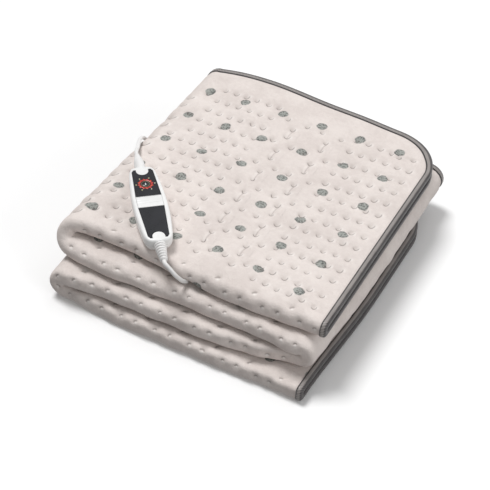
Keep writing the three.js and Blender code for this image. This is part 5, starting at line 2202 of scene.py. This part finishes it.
@dataclass
class Cords:
    """The mains lead, with its stored turns behind the blanket, and the heater's short cord."""

    controller: Controller
    plug: Plug
    diameter: float = 5.4
    coil: tuple[float, float] = (75.0, 75.0)
    turn_radii: tuple[float, ...] = (36.1, 30.7, 25.3, 19.9)
    gate: float = 41.6
    levels: tuple[float, float] = (2.9, 8.3)
    route: tuple[tuple[float, float, float], ...] = (
        (-15.9, -171, 102.6), (-24, -153, 97), (-30.6, -136.5, 90.4), (-35.4, -121.5, 80),
        (-37, -108, 65.5), (-38.5, -94, 48), (-40.5, -77, 29), (-42.5, -57, 12.5),
        (-43.2, -34, 4.2), (-42.6, -5, 3),
        (-38, 30, 3), (-23, 68, 3), (5, 100, 3), (36, 114.5, 3),
    )
    tail: tuple[tuple[float, float, float], ...] = ((118.6, 72.5, 3), (124.6, 65.5, 3), (133, 62.7, 4.6))
    heater: tuple[tuple[float, float, float], ...] = (
        (134.5, -358.5, 103.6), (141, -358.5, 97.2), (146, -355, 88.8),
        (149, -349.5, 81), (151, -342.5, 75.4),
    )

    def winding(self) -> Array:
        """The stored turns, clockwise: four inwards on the floor, a step up, and four outwards on top. Each
        passes to the next in one sixth of a turn, where the lead also comes in and leaves.

        Returns:
            Points in the plan of the tables.
        """
        lanes = [self.gate, *self.turn_radii, *self.turn_radii[::-1], self.gate]
        begin = math.radians(102.4)
        sector = math.radians(60)
        leaving = math.radians(34.5)
        angle = np.arange(0, TAU * 8 + sector + leaving, math.radians(7.5))
        lap = np.floor(angle / TAU).astype(int)
        share = smoothstep(0, 1, np.clip((angle - lap * TAU) / sector, 0, 1))
        low = np.array(lanes)[np.clip(lap, 0, len(lanes) - 2)]
        high = np.array(lanes)[np.clip(lap + 1, 0, len(lanes) - 1)]
        radius = low + (high - low) * share
        climb = np.where(lap == 4, share, (lap > 4).astype(float))
        radius = radius - np.where(lap == 4, 2.5 * np.sin(math.pi * share), 0.0)
        z = self.levels[0] + (self.levels[1] - self.levels[0]) * climb
        last = (angle - 8 * TAU - sector) / leaving
        z = z - 4.6 * smoothstep(0, 1, np.clip(last, 0, 1)) * (angle > 8 * TAU)
        x = self.coil[0] + radius * np.cos(begin - angle)
        y = self.coil[1] + radius * np.sin(begin - angle)
        return np.column_stack([x, y, z])

    def lead_line(self) -> Array:
        """The whole mains lead: off the controller, over the fold, down, round its turns, to the plug."""
        start = [self.controller.cord_point(106.1), self.controller.cord_point(111.1)]
        end = [self.plug.to_frame(np.array([x, 0.0, 0.0])) + PLAN_CENTRE for x in (-33.0, -27.0)]
        knots = np.concatenate([start, self.route, self.winding(), self.tail, end])
        return cubic_line(knots, 2.0) - PLAN_CENTRE

    def heater_line(self) -> Array:
        """The heater's cord, from its relief over the front roll and in between the upper layers."""
        start = [self.controller.cord_point(y) for y in (-104.2, -108.2)]
        return cubic_line(np.concatenate([start, self.heater]), 1.5) - PLAN_CENTRE

    def build(self, lead_pieces: list[Any], heater_pieces: list[Any]) -> list[bpy.types.Object]:
        """Makes both cords and logs the real length of each.

        Args:
            lead_pieces, heater_pieces: the pieces that go with each cord; not used.

        Returns:
            The two objects.
        """
        material = WHITE_CORD.build()
        made = []
        for name, line, nodes, far, others in (
            ("mains_lead", self.lead_line(), ("lead", "lead_coil", "lead_tail"), "plug", lead_pieces),
            ("blanket_cord", self.heater_line(), ("heater_cord",), "object", heater_pieces),
        ):
            length = float(np.linalg.norm(np.diff(line, axis=0), axis=1).sum()) * MM
            piece = mesh_of(name, tube(line, self.diameter / 2, 12))
            dress(piece, material, Slot.CORD)
            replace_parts(piece, *nodes)
            tuple(line[0] * MM)
            "coiled" if far == "plug" else "loose"
            (line * MM).tolist()
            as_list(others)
            LOG.info("%s: %.3f m", name, length)
            made.append(piece)
        return made


# The studio


@dataclass(frozen=True)
class Studio:
    """The camera at the photograph's angle, a plain pale floor, three soft lights and an even sky."""

    eye: tuple[float, float, float] = (0.73577, -1.55951, 1.52641)
    azimuth: float = math.radians(25.48)
    elevation: float = math.radians(41.54)
    roll: float = math.radians(2.006)
    lens: float = 126.38
    # name, direction towards the light, strength, spread in degrees
    suns: tuple[tuple[str, tuple[float, float, float], float, float], ...] = (
        ("key", (-0.41, 0.2, 1.0), 2.2, 22.0),
        ("back", (0.1, 0.9, 0.9), 0.45, 50.0),
        ("side", (1.0, -0.12, 0.3), 1.1, 40.0),
    )
    sky: float = 0.32

    def camera(self) -> None:
        """Places the camera from its azimuth, elevation and roll."""
        a, e, r = self.azimuth, self.elevation, self.roll
        back = Vector((math.sin(a) * math.cos(e), -math.cos(a) * math.cos(e), math.sin(e)))
        right = Vector((math.cos(a), math.sin(a), 0.0))
        up = back.cross(right)
        cos, sin = math.cos(r), math.sin(r)
        right, up = right * cos + up * sin, up * cos - right * sin
        data = bpy.data.cameras.new("camera")
        data.lens = self.lens
        data.sensor_width = 36.0
        data.clip_start = 0.05
        data.clip_end = 20.0
        camera = bpy.data.objects.new("camera", data)
        turn = Matrix((right, up, back)).transposed().to_4x4()
        camera.matrix_world = Matrix.Translation(Vector(self.eye)) @ turn
        bpy.context.scene.collection.objects.link(camera)
        bpy.context.scene.camera = camera

    def floor(self) -> None:
        """A large level plane in plain near-white. Diffuse rays pass through it, so what lights the object
        from below is the even sky and not the floor."""
        half = 4000.0
        corners = np.array([(-half, -half, 0), (half, -half, 0), (half, half, 0), (-half, half, 0)], float)
        floor = mesh_of("floor", Form(corners, [np.array([[0, 1, 2, 3]])]), smooth=False)
        tree = Tree("floor")
        floor.data.materials.append(tree.finish((0.93, 0.93, 0.93, 1.0), 0.9, None, Specular_IOR_Level=0.1))
        floor.visible_diffuse = False

    def lights(self) -> None:
        """A soft light high on the left, broad weak ones from behind and from the right, and an even sky."""
        for name, towards, strength, spread in self.suns:
            data = bpy.data.lights.new(name, "SUN")
            data.energy = strength
            data.angle = math.radians(spread)
            light = bpy.data.objects.new(name, data)
            light.rotation_mode = "QUATERNION"
            light.rotation_quaternion = Vector(towards).to_track_quat("Z", "Y")
            bpy.context.scene.collection.objects.link(light)
        world = bpy.data.worlds.new("sky")
        world.use_nodes = True
        background = world.node_tree.nodes["Background"]
        background.inputs["Color"].default_value = (1.0, 1.0, 1.0, 1.0)
        background.inputs["Strength"].default_value = self.sky
        bpy.context.scene.world = world
        bpy.context.scene.view_settings.view_transform = "Standard"

    def build(self) -> None:
        """Sets up all three."""
        self.camera()
        self.floor()
        self.lights()


def main() -> None:
    """Builds the studio, the cords, the cloth and the controller in order."""
    logging.basicConfig(level=logging.INFO, format="%(name)s: %(message)s")
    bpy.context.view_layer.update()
    Studio().build()
    controller, plug = Controller(), Plug()
    bell, ribbed = controller.build_reliefs()
    plug_pieces = plug.build()
    Cords(controller, plug).build([bell, *plug_pieces], [ribbed])
    fold = Fold()
    blanket = Blanket(fold).build()
    tape = Binding(fold).build()
    controller.build_shell()
    controller.build_panels()
    controller.build_dial()
    controller.build_key()


if __name__ == "__main__":
    main()
